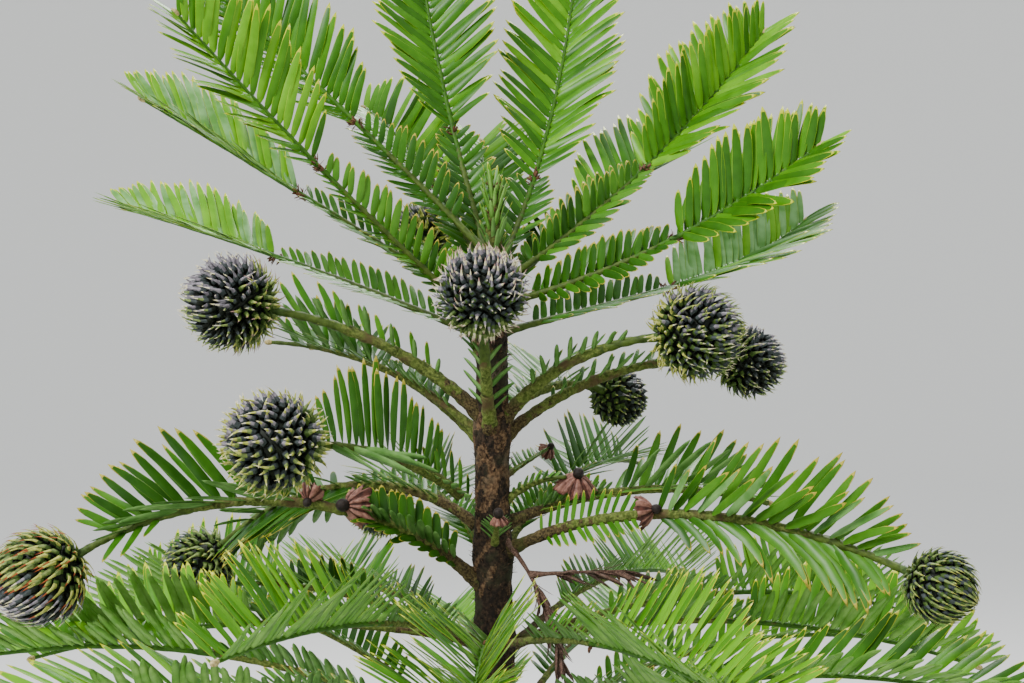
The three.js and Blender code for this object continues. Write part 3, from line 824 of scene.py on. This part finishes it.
def needlePart(rows, seed):
    # the blades of several limbs as one part, with a look dealt to each by spray and by needle
    random = np.random.default_rng(seed)
    for row in rows:
        row["spray"] = np.full(len(row["root"]), random.random())
    joined = stacked(rows)
    count = len(joined["root"])
    shape = {
        "steps": needle["steps"],
        "widths": np.where(joined["blunt"][:, None], needle["bluntWidths"], needle["pointedWidths"]),
        "margins": needle["margins"], "channel": needle["channel"], "depth": needle["depth"],
        "bow": joined["bow"],
        "arch": random.uniform(*needle["arches"], count),
        "twist": joined["hand"] * random.uniform(*needle["twists"], count),
    }
    points, quads, tris = blades(joined["root"], joined["way"], joined["up"], joined["length"],
                                 joined["width"], shape)
    tone = needle["needleTone"] * joined["shade"] + needle["sprayTone"] * joined["spray"]
    tone = tone + needle["tipTone"] * (joined["slot"] - 0.5)
    level = np.digitize(tone, needle["toneSteps"])
    # in pale rows half the needles take the painted sheen of the sky and the rest the light green
    palest = np.where(joined["shade"] > 0.5, lookIndex["youngPale"], lookIndex["youngLight"])
    level = np.where(joined["pale"], palest, level)
    age = np.where(joined["young"], 0, len(lookIndex) // 2)
    lastStep = len(needle["steps"]) - 2

    def deal(step, part):
        # the material of each blade's faces, from each face's step along it and part of its section
        # margin faces: partly the needle's own rim colour, partly a painted highlight on its edge
        look = np.where(part == 0, lookIndex["youngMargin"], level[:, None])
        isTip = ((step >= lastStep) & (part < 3)) | ((step == lastStep - 1) & (part == 0))
        look = np.where(isTip, lookIndex["youngTip"], look)
        look = np.where(part == 3, lookIndex["youngUnder"], look)
        return (age[:, None] + look).ravel()

    quadLook = deal(np.repeat(np.arange(lastStep), 6), np.tile(needleSection, lastStep))
    triLook = deal(np.array([lastStep] * 6 + [0] * 4), np.array([*needleSection, 3, 3, 3, 3]))
    return points, quads, quadLook, tris, triLook


leader = {
    "needles": 70, "from": 1000, "to": 1089, "youngFrom": 1050,
    "lean": [48, 14], "unevenLean": 4, "length": [16, 30], "width": [3.2, 4.4], "rootAt": 0.8,
}


def leaderRows():
    # short needles that stand up round the leader, at the golden angle
    random = np.random.default_rng(77)
    count = leader["needles"]
    height = np.linspace(leader["from"], leader["to"], count)
    out = outwards(np.arange(count) * golden)
    lean = np.linspace(*leader["lean"], count) + random.normal(0, leader["unevenLean"], count)
    lean = np.radians(lean)[:, None]
    return {
        "root": trunkAxis(height) + out * trunkRadius(height)[:, None] * leader["rootAt"],
        "way": towards(upright, out, lean),
        "up": towards(-out, upright, lean),
        "length": random.uniform(*leader["length"], count),
        "width": random.uniform(*leader["width"], count),
        "hand": np.ones(count), "slot": np.linspace(0, 1, count), "young": height > leader["youngFrom"],
        "blunt": np.zeros(count, bool), "pale": np.zeros(count, bool), "bow": np.zeros(count),
        "shade": random.random(count),
    }


def nodesOf(specs, kind="foliage_"):
    return sorted({kind + spec["name"] for spec in specs})


crownRows = [needleRows(spec) for spec in crown] + [leaderRows()]
addPiece("crownNeedles", [needlePart(crownRows, 11)], needleMaterials, "young_needles", *nodesOf(crown))
whorlRows = [needleRows(spec) for spec in whorled]
addPiece("whorlNeedles", [needlePart(whorlRows, 12)], needleMaterials, "needles", *nodesOf(whorled))
for pair in range(3):
    tiers = [spec for spec in lowerBoughs if spec["tier"] // 2 == pair]
    rows = [needleRows(spec) for spec in tiers]
    addPiece(f"lowerNeedles{pair + 1}", [needlePart(rows, 13 + pair)], needleMaterials, "needles",
             *nodesOf(tiers))


# Limbs

twig = {
    "slimmer": 0.82,  # against its solid, which is thicker than life
    "footCell": 7, "footColumns": 4, "uneven": 0.06,  # the feet of old needles, and lumps between them
    "collar": 2.6, "collarLength": 10,  # how it widens at the trunk
    "sunk": 7, "ragged": 0.05,  # its start inside the trunk, and the edge between two barks
}


def trunkShare(spec):
    # the share of a limb's length that lies inside the trunk, less a little
    inside = float(trunkRadius(spec["height"])) - twig["sunk"]
    slope = math.cos(math.radians(spec["rise"][0]))
    return max(0, inside / slope / spec["length"])


def tube(spec, first, last, looks, sides, step, height=0.26):
    # A round limb between two shares of its length. Its radius is the taper, wider at the trunk, and
    # raised in lozenges, the feet of old needles. looks are (share of the length, material from there).
    count = max(3, int(spec["length"] * (last - first) / step))
    share = np.linspace(first, last, count + 1)
    point, _, up, side = frameAt(spec, share)
    angle = roundAngles(sides)
    run = (share * spec["length"])[:, None]
    feet = lozenges(angle / (2 * math.pi) * twig["footColumns"], run / twig["footCell"]) ** 0.6 - 0.5
    radius = twig["slimmer"] * radiusAt(spec, share)[:, None] * (1 + height * feet)
    radius = radius * (1 + twig["uneven"] * waves(spec.get("number", 1), angle, run, 40, 8, 3))
    fromTrunk = run - float(trunkRadius(spec["height"])) if spec["start"] is None else run
    radius = radius + twig["collar"] * np.exp(-np.maximum(fromTrunk, 0) / twig["collarLength"])
    ring = towards(-side[:, None], up[:, None], angle[..., None])
    rings = point[:, None] + ring * radius[..., None]
    starts, chosen = np.array(looks, float).T
    ragged = share[:-1, None] + twig["ragged"] * waves(5, angle, run[:-1], 14, 8, 4)
    return skin(rings, chosen[np.clip(np.searchsorted(starts, ragged) - 1, 0, None)].astype(int))


boughSpecs = [spec for spec in whorled if spec["boughTo"]]
boughParts = [
    tube(spec, trunkShare(spec), spec["boughTo"], [(0, 0), (0.22, 1)], 16, 1.7) for spec in boughSpecs
]
addPiece("boughBark", boughParts, boughLooks, "bough_bark", *nodesOf(boughSpecs, "bough_"))

whorlTwigs = [
    tube(spec, spec["boughTo"] or trunkShare(spec), 1, [(0, 1), (0.75, 2)], 12, 2.2) for spec in whorled
]
addPiece("whorlTwigs", whorlTwigs, boughLooks, "bough_bark")

crownTwigs = [
    tube(spec, trunkShare(spec), 1, [(0, 2), (spec["scar"] - 0.08, 3)], 8, 3.4, 0.16) for spec in crown
]
addPiece("crownTwigs", crownTwigs, boughLooks, "bough_bark")

lowerTwigs = [tube(spec, 0.35, 1, [(0, 0)], 12, 3) for spec in forkStems]
lowerTwigs += [tube(spec, 0, 1, [(0, 0), (0.14, 1), (0.5, 3)], 8, 4.6, 0.16) for spec in lowerBoughs]
addPiece("lowerTwigs", lowerTwigs, boughLooks, "bough_bark")


# Trunk

trunkMesh = {
    "sides": 96, "fine": 1.7, "coarse": 3.4, "fineFrom": 620,
    "cell": 6.5, "columns": 13, "wander": [0.12, 0.25],  # the grid of lozenges, and how far it strays
    "feet": 0.9, "feetLost": 0.6,  # how far they stand out, and how they fade with age
    "plates": 0.35, "agedPlates": 0.75,  # how far the plates stand out, and how much more on old bark
    "agedFrom": 900, "agedOver": 500, "peeling": (815, 900), "greenFrom": 985,
}


def trunkPart():
    # Rings up the trunk's line. The radius is the taper and the root flare, with needle feet in a
    # slanting grid of lozenges that fade into rough plates lower down, where the bark is older.
    coarse = np.arange(0, trunkMesh["fineFrom"], trunkMesh["coarse"])
    fine = np.arange(trunkMesh["fineFrom"], trunkTop, trunkMesh["fine"])
    height = np.concatenate([coarse, fine, [trunkTop]])
    angle = roundAngles(trunkMesh["sides"])
    z = height[:, None]
    flare = trunk["flareRadius"] * np.exp(-z / trunk["flareHeight"])
    radius = trunkRadius(z) + flare * (1 + trunk["lobeDepth"] * np.cos(trunk["lobes"] * angle))
    across = angle / (2 * math.pi) * trunkMesh["columns"] + trunkMesh["wander"][0] * waves(3, angle, z, 60)
    down = z / trunkMesh["cell"] + trunkMesh["wander"][1] * waves(4, angle, z, 45)
    feet = lozenges(across, down) ** 0.5 - 0.55
    plates = waves(5, angle, z, 22, 18, 12)
    plates = np.tanh(2.2 * plates) * 0.5 + 0.3 * waves(6, angle, z, 7, 16, 30)
    aged = np.clip((trunkMesh["agedFrom"] - z) / trunkMesh["agedOver"], 0, 1)
    thin = np.clip(radius / 14, 0.12, 1)
    feet = feet * trunkMesh["feet"] * (1 - trunkMesh["feetLost"] * aged)
    plates = plates * (trunkMesh["plates"] + trunkMesh["agedPlates"] * aged)
    radius = radius + thin * (feet + plates)
    radius[0] = radius[1]
    rings = trunkAxis(height)[:, None] + outwards(angle) * radius[..., None]
    patches = waves(8, angle, z, 34, 22, 8, 2)
    peeling = (z > trunkMesh["peeling"][0]) & (z < trunkMesh["peeling"][1])
    look = np.where(patches > np.where(peeling, -0.2, 0.7), 1, 0)
    look = np.where(z + 26 * waves(9, angle, z, 18, 16, 9) > trunkMesh["greenFrom"], 2, look)
    return skin(rings, look[:-1])


bristles = {
    "count": 900, "from": 620, "to": 1010, "length": [3, 7.5], "width": [0.7, 1.7], "sunk": 0.4,
    "lean": [0.25, 1.1], "curl": [-0.2, 0.5],  # from upright in radians, and as shares of the length
}


def trunkFlakes():
    # papery bristles that stand away from the young bark between and under the whorls
    random = np.random.default_rng(31)
    count = bristles["count"]
    height = random.uniform(bristles["from"], bristles["to"], count)
    angle = random.uniform(0, 2 * math.pi, count)
    out = outwards(angle)
    root = trunkAxis(height) + out * (trunkRadius(height) - bristles["sunk"])[:, None]
    lean = random.uniform(*bristles["lean"], count)[:, None]
    turn = np.stack([-out[:, 1], out[:, 0], random.uniform(-1, 1, count)], -1) * 0.5
    way = towards(upright, out, lean) + turn * random.normal(0, 0.5, (count, 1))
    length = random.uniform(*bristles["length"], count) * np.clip(trunkRadius(height) / 14, 0.5, 1)
    width = random.uniform(*bristles["width"], count)
    curl = random.uniform(*bristles["curl"], count)
    return flakes(root, unit(way), out, length, width, curl, random.choice([0, 1, 1], count))


addPiece("trunkBark", [trunkPart()], trunkLooks, "bark", "trunk")
addPiece("barkBristles", [trunkFlakes()], trunkLooks, "bark")


# Seed cones

coneShape = {
    "plainRadius": 43, "plainCount": 300, "plainCore": 0.63,  # of the cone that the widths are for
    "steps": [0, 0.2, 0.42, 0.62, 0.82, 1],
    "widths": [7.6, 6.3, 4.2, 2.4, 1.3, 0],
    "depths": [6.2, 5.2, 3.4, 1.9, 1.1, 0],
    "reach": 1.03,  # how far the longest scales stand out, as a share of the radius
    "scatter": 0.035, "unevenHook": 0.15, "heights": [0.82, 1.04],
    "mixed": 0.25, "stalkFrom": 0.45, "skyFrom": 0.05,  # where the palette's rows meet
    "neckBeyond": 0.1, "neckRadius": 0.98, "neckStretch": 3.6,  # the stalk's swelling under the cone
    "coreMesh": [14, 24], "neckMesh": [12, 12],  # rings and sides
}
coneColours = {
    # the first colour is painted shade: the near-black in the gaps between scales and under the downward
    # ones
    "scaleDark": ("#0e120b", "#1b2215"),
    "scaleGreen": ("#2f4417", "#4a6228"),
    "scaleSlate": ("#2d3434", "#474f4e"),
    # grey-lilac bloom of the scales, which on upward scales is also a painted sheen of the sky
    "scaleBloom": ("#5f5a61", "#918a92"),
    "scaleFresh": ("#586a34", "#7e8e4e"),
    "spineYellow": ("#8e943c", "#b5b65c"),
    "spineCream": ("#bdb58c", "#ddd5b2"),
    "spinePink": ("#8f6a62", "#b8978c"),
    "spineRust": ("#7a3415", "#a05227"),
}
coneLooks = [stemMaterial(name, *pair, size=2) for name, pair in coneColours.items()]
dark, green, slate, bloomAndSheen, fresh, yellow, cream, pink, rust = range(len(coneColours))
# The materials of a scale from its foot to its point. The first colour of each row, at the foot,
# is painted shade in the gaps between scales. Each cone has three rows: for scales that face the
# sky, the stalk and the ground. The rows differ partly in the cone's own colours and partly in
# painted light: the grey-lilac of the sky rows is also painted sheen of the sky, and the extra
# near-black in some ground rows is painted shade.
conePalettes = {
    "pink": (
        [dark, slate, bloomAndSheen, cream, pink],
        [dark, green, fresh, cream, pink],
        [dark, slate, green, bloomAndSheen, cream],
    ),
    "grey": (
        [dark, slate, bloomAndSheen, bloomAndSheen, cream],
        [dark, green, fresh, yellow, pink],
        [dark, dark, slate, fresh, cream],
    ),
    "green": (
        [dark, slate, bloomAndSheen, fresh, yellow],
        [dark, green, yellow, yellow, cream],
        [dark, green, slate, fresh, cream],
    ),
    "lime": (
        [dark, slate, bloomAndSheen, yellow, cream],
        [dark, green, fresh, yellow, cream],
        [dark, slate, fresh, yellow, cream],
    ),
    "olive": (
        [dark, green, slate, fresh, yellow],
        [dark, green, fresh, fresh, yellow],
        [dark, slate, green, fresh, yellow],
    ),
    "dark": (
        [dark, slate, slate, bloomAndSheen, cream],
        [dark, green, green, fresh, yellow],
        [dark, dark, slate, fresh, cream],
    ),
    "rusty": (
        [dark, green, fresh, yellow, rust],
        [dark, green, yellow, yellow, rust],
        [dark, dark, slate, bloomAndSheen, cream],
    ),
}
# of each cone: the palette, the number of scales, how far they bend towards its tip in radians, and
# the share of its radius that they stand out from
coneKinds = {
    "front_cone": ("pink", 320, 0.1, 0.66),
    "left_cone": ("grey", 350, 0.15, 0.63),
    "right_cone": ("green", 350, 0.15, 0.66),
    "right_far_cone": ("dark", 260, 0.15, 0.68),
    "right_back_cone": ("dark", 200, 0.15, 0.8),
    "left_long": ("rusty", 280, 0.5, 0.72),
    "left_front": ("lime", 270, 0.1, 0.65),
    "left_low": ("olive", 230, 0.3, 0.72),
    "right_long": ("olive", 230, 0.45, 0.74),
    "back_cone": ("green", 220, 0.2, 0.66),
    "back_low_cone": ("green", 230, 0.2, 0.66),
}


def conePart(spec):
    # Scales sit on a ball at the golden angle. Each is a spine of four-sided section whose middle
    # line goes out from the ball and turns towards the cone's tip as the square of its length.
    random = np.random.default_rng(900 + spec["number"])
    palette, count, hooked, core = coneKinds[spec["name"]]
    axis = spec["along"][-1]
    centre = coneCentre(spec)
    order = np.arange(count)
    height = 1 - 2 * (order + 0.5) / count
    turn = order * golden
    flat = np.sqrt(1 - height ** 2)
    side, other = squareTo(axis)
    out = side * (flat * np.cos(turn))[:, None] + other * (flat * np.sin(turn))[:, None]
    out = out + axis * height[:, None]
    out = unit(out + random.normal(0, coneShape["scatter"], out.shape))
    lean = unit(axis - out * (out @ axis)[:, None])
    size = spec["cone"] / coneShape["plainRadius"] * math.sqrt(coneShape["plainCount"] / count)
    size = size * core / coneShape["plainCore"]
    t = np.array(coneShape["steps"])[None, :, None]
    hook = random.normal(hooked, coneShape["unevenHook"], count)[:, None, None]
    angle = hook * t ** 2
    heading = towards(out[:, None], lean[:, None], angle)
    tall = random.uniform(*coneShape["heights"], count)[:, None, None]
    reach = spec["cone"] * (core + (coneShape["reach"] - core) * t * tall)
    line = centre + heading * reach
    across = unit(np.cross(lean, out))[:, None]
    upward = np.cross(heading, across)
    wide = np.array(coneShape["widths"])[None, :, None] * size / 2
    deep = np.array(coneShape["depths"])[None, :, None] * size / 2
    aside, above = across * wide, upward * deep
    ring = np.stack([line + aside, line + above, line - aside, line - above], 2)
    points, quads, tris = spines(ring, line)
    # upward scales take the sky row, partly painted sheen, and downward ones the ground row, partly painted
    # shade
    near = -height + random.normal(0, coneShape["mixed"], count)
    sky = out[:, 2] + random.normal(0, coneShape["mixed"], count)
    kind = np.where(near > coneShape["stalkFrom"], 1, np.where(sky > coneShape["skyFrom"], 0, 2))
    looks = np.array(conePalettes[palette])[kind]
    quadLook = np.repeat(looks[:, :-1], 4, 1).ravel()
    triLook = np.concatenate([np.repeat(looks[:, -1:], 4, 1), np.repeat(looks[:, :1], 2, 1)], 1).ravel()
    return points, quads, quadLook, tris, triLook


coneParts = []
for spec in seedConeLimbs:
    axis = spec["along"][-1]
    neck = spec["point"][-1] + axis * spec["cone"] * coneShape["neckBeyond"]
    thick = radiusAt(spec, 1) * coneShape["neckRadius"]
    core = spec["cone"] * coneKinds[spec["name"]][3]
    coneParts.append(conePart(spec))
    # the ball under the scales has the first, near-black colour: painted shade between the scales
    coneParts.append(ballPart(coneCentre(spec), axis, core, 1, *coneShape["coreMesh"]))
    coneParts.append(ballPart(neck, axis, thick, coneShape["neckStretch"], *coneShape["neckMesh"], green))
addPiece("seedCones", coneParts, coneLooks, "cone_scales")


# Small brown parts: shed pollen cones, bud scales, bud tips and a dead twig

driedShape = {
    "pleats": 9, "sides": 63, "steps": [0.14, 0.35, 0.55, 0.75, 0.9, 1], "thickness": 0.07,
    "wander": 0.9, "torn": 0.08, "reach": 0.94, "foldReach": 0.16, "foldHeight": 0.34,
    "paleFrom": 0.55,  # the crests of the pleats are pale
    "ballAt": 0.7, "ballStretch": 1.1, "ballRings": 8, "ballSides": 12,
}


def driedCone(centre, axis, radius, ball, seed):
    # A pleated papery cap with a ragged rim hangs back from the stalk's end, with a dark ball on top.
    # At the share t of the way out it has dropped by t^2 of its radius, less the height of the
    # pleats, which is the size of a sine of the turn and grows with t.
    random = np.random.default_rng(seed)
    sides = driedShape["sides"]
    side, other = squareTo(axis)
    turn = roundAngles(sides)
    t = np.array(driedShape["steps"])[:, None]
    phase = random.uniform(0, 2 * math.pi)
    wander = driedShape["wander"] * np.sin(2 * turn + phase)
    fold = np.abs(np.sin(turn * driedShape["pleats"] / 2 + phase + wander))
    torn = random.normal(0, driedShape["torn"], (1, sides))
    reach = radius * t * (driedShape["reach"] + driedShape["foldReach"] * fold * t + torn * t ** 3)
    drop = radius * (t ** 2 - driedShape["foldHeight"] * t * fold + torn * t ** 3)
    out = towards(side, other, turn[..., None])
    upper = centre + out * reach[..., None] - axis * drop[..., None]
    under = upper - axis * driedShape["thickness"] * radius
    look = np.where(fold > driedShape["paleFrom"], 2, 0) * np.ones((len(t), 1), int)
    looks = np.concatenate([look[1:] * 0, look])
    cap = skin(np.concatenate([under, upper[::-1]]), looks)
    middle = centre + axis * radius * ball * driedShape["ballAt"]
    core = ballPart(middle, axis, radius * ball, driedShape["ballStretch"], driedShape["ballRings"],
                    driedShape["ballSides"], 1)
    return [cap, core]


driedParts = []
for number, (name, share, radius, aim, ball) in enumerate(driedCones):
    centre = driedPlace(name, share, radius)
    driedParts += driedCone(centre, unit(np.array(aim)), radius, ball, 50 + number)
addPiece("driedCones", driedParts, [petalLook, charLook, petalEdgeLook], "cone_scales")


def anyWay(random, side, up, count):
    # directions at random round a limb
    return towards(side, up, random.uniform(0, 2 * math.pi, count)[:, None])


budScale = {
    "crown": [18, 8.5], "lower": [8, 6],  # how many stand round a limb's scar, and the longest of them
    "lowerAt": 0.49, "beforeScar": 0.005,
    "leader": [[0.96, 22, 10], [0.5, 16, 8]],  # the same for each scar of the leader, after its place
    "scatter": [-0.012, 0.02], "rootAt": 0.7, "lean": [0.5, 1.5], "lengths": [0.6, 1],
    "width": [2, 3.4], "curl": [-0.3, 0.3],
}


def scarFlakes(spec, share, count, length, seed):
    # brown bud scales that stay round a shoot where a year's growth began
    random = np.random.default_rng(seed)
    at = share + random.uniform(*budScale["scatter"], count)
    point, along, up, side = frameAt(spec, at)
    out = anyWay(random, side, up, count)
    lean = random.uniform(*budScale["lean"], count)[:, None]
    root = point + out * radiusAt(spec, share) * budScale["rootAt"]
    tall = random.uniform(*budScale["lengths"], count) * length
    width = random.uniform(*budScale["width"], count)
    curl = random.uniform(*budScale["curl"], count)
    return flakes(root, unit(towards(along, out, lean)), out, tall, width, curl, 0)


scaleParts = []
for spec in crown:
    share = spec["scar"] - budScale["beforeScar"]
    scaleParts.append(scarFlakes(spec, share, *budScale["crown"], 200 + spec["number"]))
for spec in lowerBoughs:
    scaleParts.append(scarFlakes(spec, budScale["lowerAt"], *budScale["lower"], 300 + spec["number"]))
leaderTop = layOut(limb("leader", 1040, 0, 52, [90, 90], 6, 3, []))
for number, scar in enumerate(budScale["leader"]):
    scaleParts.append(scarFlakes(leaderTop, *scar, 400 + number))
addPiece("budScales", scaleParts, [budScaleLook], "bough_bark")

bud = {"beyond": 2, "radius": 2.6, "stretch": 1.7, "rings": 7, "sides": 8}
tipParts = []
for spec in allLimbs:
    if not spec["cone"] and spec["name"] != "front_stub":
        axis = spec["along"][-1]
        place = spec["point"][-1] + axis * bud["beyond"]
        tipParts.append(ballPart(place, axis, bud["radius"], bud["stretch"], bud["rings"], bud["sides"]))
addPiece("budTips", tipParts, [budTipLook], "young_needles")


withered = {
    "height": 800, "levelAt": 0.42,  # where one twig leaves the trunk, and the share where one leaves that
    "hanging": [70, 0.45], "level": [34, 0.25],  # how many needles, and the share that they start at
    "forward": 0.8, "spread": [0.1, 0.6], "droop": 0.25,
    "length": [16, 32], "width": [2.6, 4.6], "curl": [-0.25, 0.25],
}


def deadShoot(spec, count, first, seed):
    # a withered shoot with its needles shrunk and folded down along it
    random = np.random.default_rng(seed)
    point, along, up, side = frameAt(spec, random.uniform(first, 1, count))
    out = anyWay(random, side, up, count)
    spread = random.uniform(*withered["spread"], (count, 1))
    way = unit(along * withered["forward"] + out * spread - upright * withered["droop"])
    length, width, curl = (random.uniform(*withered[key], count) for key in ("length", "width", "curl"))
    points, quads, _, tris, _ = tube(spec, 0, 1, [(0, 0)], 8, 3, 0.2)
    return [(points, quads, 0, tris, 0), flakes(point, way, out, length, width, curl, 0)]


def deadTwigs():
    # one hangs from the trunk, and another leaves it nearly half way down and stays level
    hanging = layOut(limb("hanging", withered["height"], -38, 128, [-22, -74], 2.4, 1.3, [], bend=0.6))
    level = limb("level", withered["height"], -12, 78, [6, 2], 1.8, 1, [])
    level["start"] = frameAt(hanging, withered["levelAt"])[0]
    shoots = deadShoot(hanging, *withered["hanging"], 60)
    return shoots + deadShoot(layOut(level), *withered["level"], 61)


addPiece("deadTwig", deadTwigs(), [deadLook], "bough_bark")


# Floor, light and camera

bowl = {"flat": 11, "curve": 4, "wall": 1.5, "sides": 72, "rings": 14}  # in metres


def addFloor():
    # A pale bowl: a flat disk that turns up along a quarter circle to a low wall, far away, so no edge
    # shows behind the tree.
    flat, curve, sides = bowl["flat"], bowl["curve"], bowl["sides"]
    bend = np.linspace(0, math.pi / 2, bowl["rings"])
    reach = np.concatenate([[0.02, flat * 0.5], flat + curve * np.sin(bend), [flat + curve]])
    rise = np.concatenate([[0, 0], curve * (1 - np.cos(bend)), [curve + bowl["wall"]]])
    rings = outwards(roundAngles(sides)) * reach[:, None, None] + upright * rise[:, None, None]
    quads = bands(len(reach), sides)[:, ::-1]
    mesh = bpy.data.meshes.new("studioBowl")
    mesh.from_pydata(rings.reshape(-1, 3).tolist(), [], [*quads.tolist(), list(range(sides))])
    mesh.polygons.foreach_set("use_smooth", np.ones(len(quads) + 1, bool))
    floor = addObject("studioBowl", mesh)
    material, _, shader = newMaterial("studioFloor", 0.95, Specular_IOR_Level=0.1)
    shader.inputs["Base Color"].default_value = colour("#f4f4f1")
    mesh.materials.append(material)


lamps = {
    "key": {"place": (-2, -2, 3.4), "size": 1.4, "power": 200},
    "fill": {"place": (2.8, -2.4, 1.6), "size": 2.5, "power": 10},
    "top": {"place": (0.6, 1.8, 3.6), "size": 1.8, "power": 170},
}
lampTarget = (0, 0, 0.95)


def addLamps():
    for name, given in lamps.items():
        lamp = bpy.data.lights.new(name, "AREA")
        lamp.shape = "DISK"
        lamp.size = given["size"]
        lamp.energy = given["power"]
        holder = addObject(name, lamp)
        holder.location = given["place"]
        away = np.array(given["place"]) - np.array(lampTarget)
        yaw = math.atan2(away[1], away[0]) + math.pi / 2
        holder.rotation_euler = (math.atan2(math.hypot(away[0], away[1]), away[2]), 0, yaw)


def addWorld():
    world = bpy.data.worlds.new("studioSky")
    world.use_nodes = True
    sky = world.node_tree.nodes["Background"]
    sky.inputs["Color"].default_value = colour("#eef1f4")
    sky.inputs["Strength"].default_value = 1.0
    bpy.context.scene.world = world


def addCamera():
    # Level with the middle of the part that shows, 1.5 m in front of the trunk.
    view = {"x": 0.014, "y": -1.5, "height": 0.96, "lens": 62.04, "sensor": 36}
    data = bpy.data.cameras.new("photoCamera")
    data.lens = view["lens"]
    data.sensor_width = view["sensor"]
    data.clip_start = 0.05
    data.clip_end = 200
    camera = addObject("photoCamera", data)
    camera.location = (view["x"], view["y"], view["height"])
    camera.rotation_euler = (math.radians(90), 0, 0)
    bpy.context.scene.camera = camera


addFloor()
addWorld()
addLamps()
addCamera()
print("floor, light and camera")
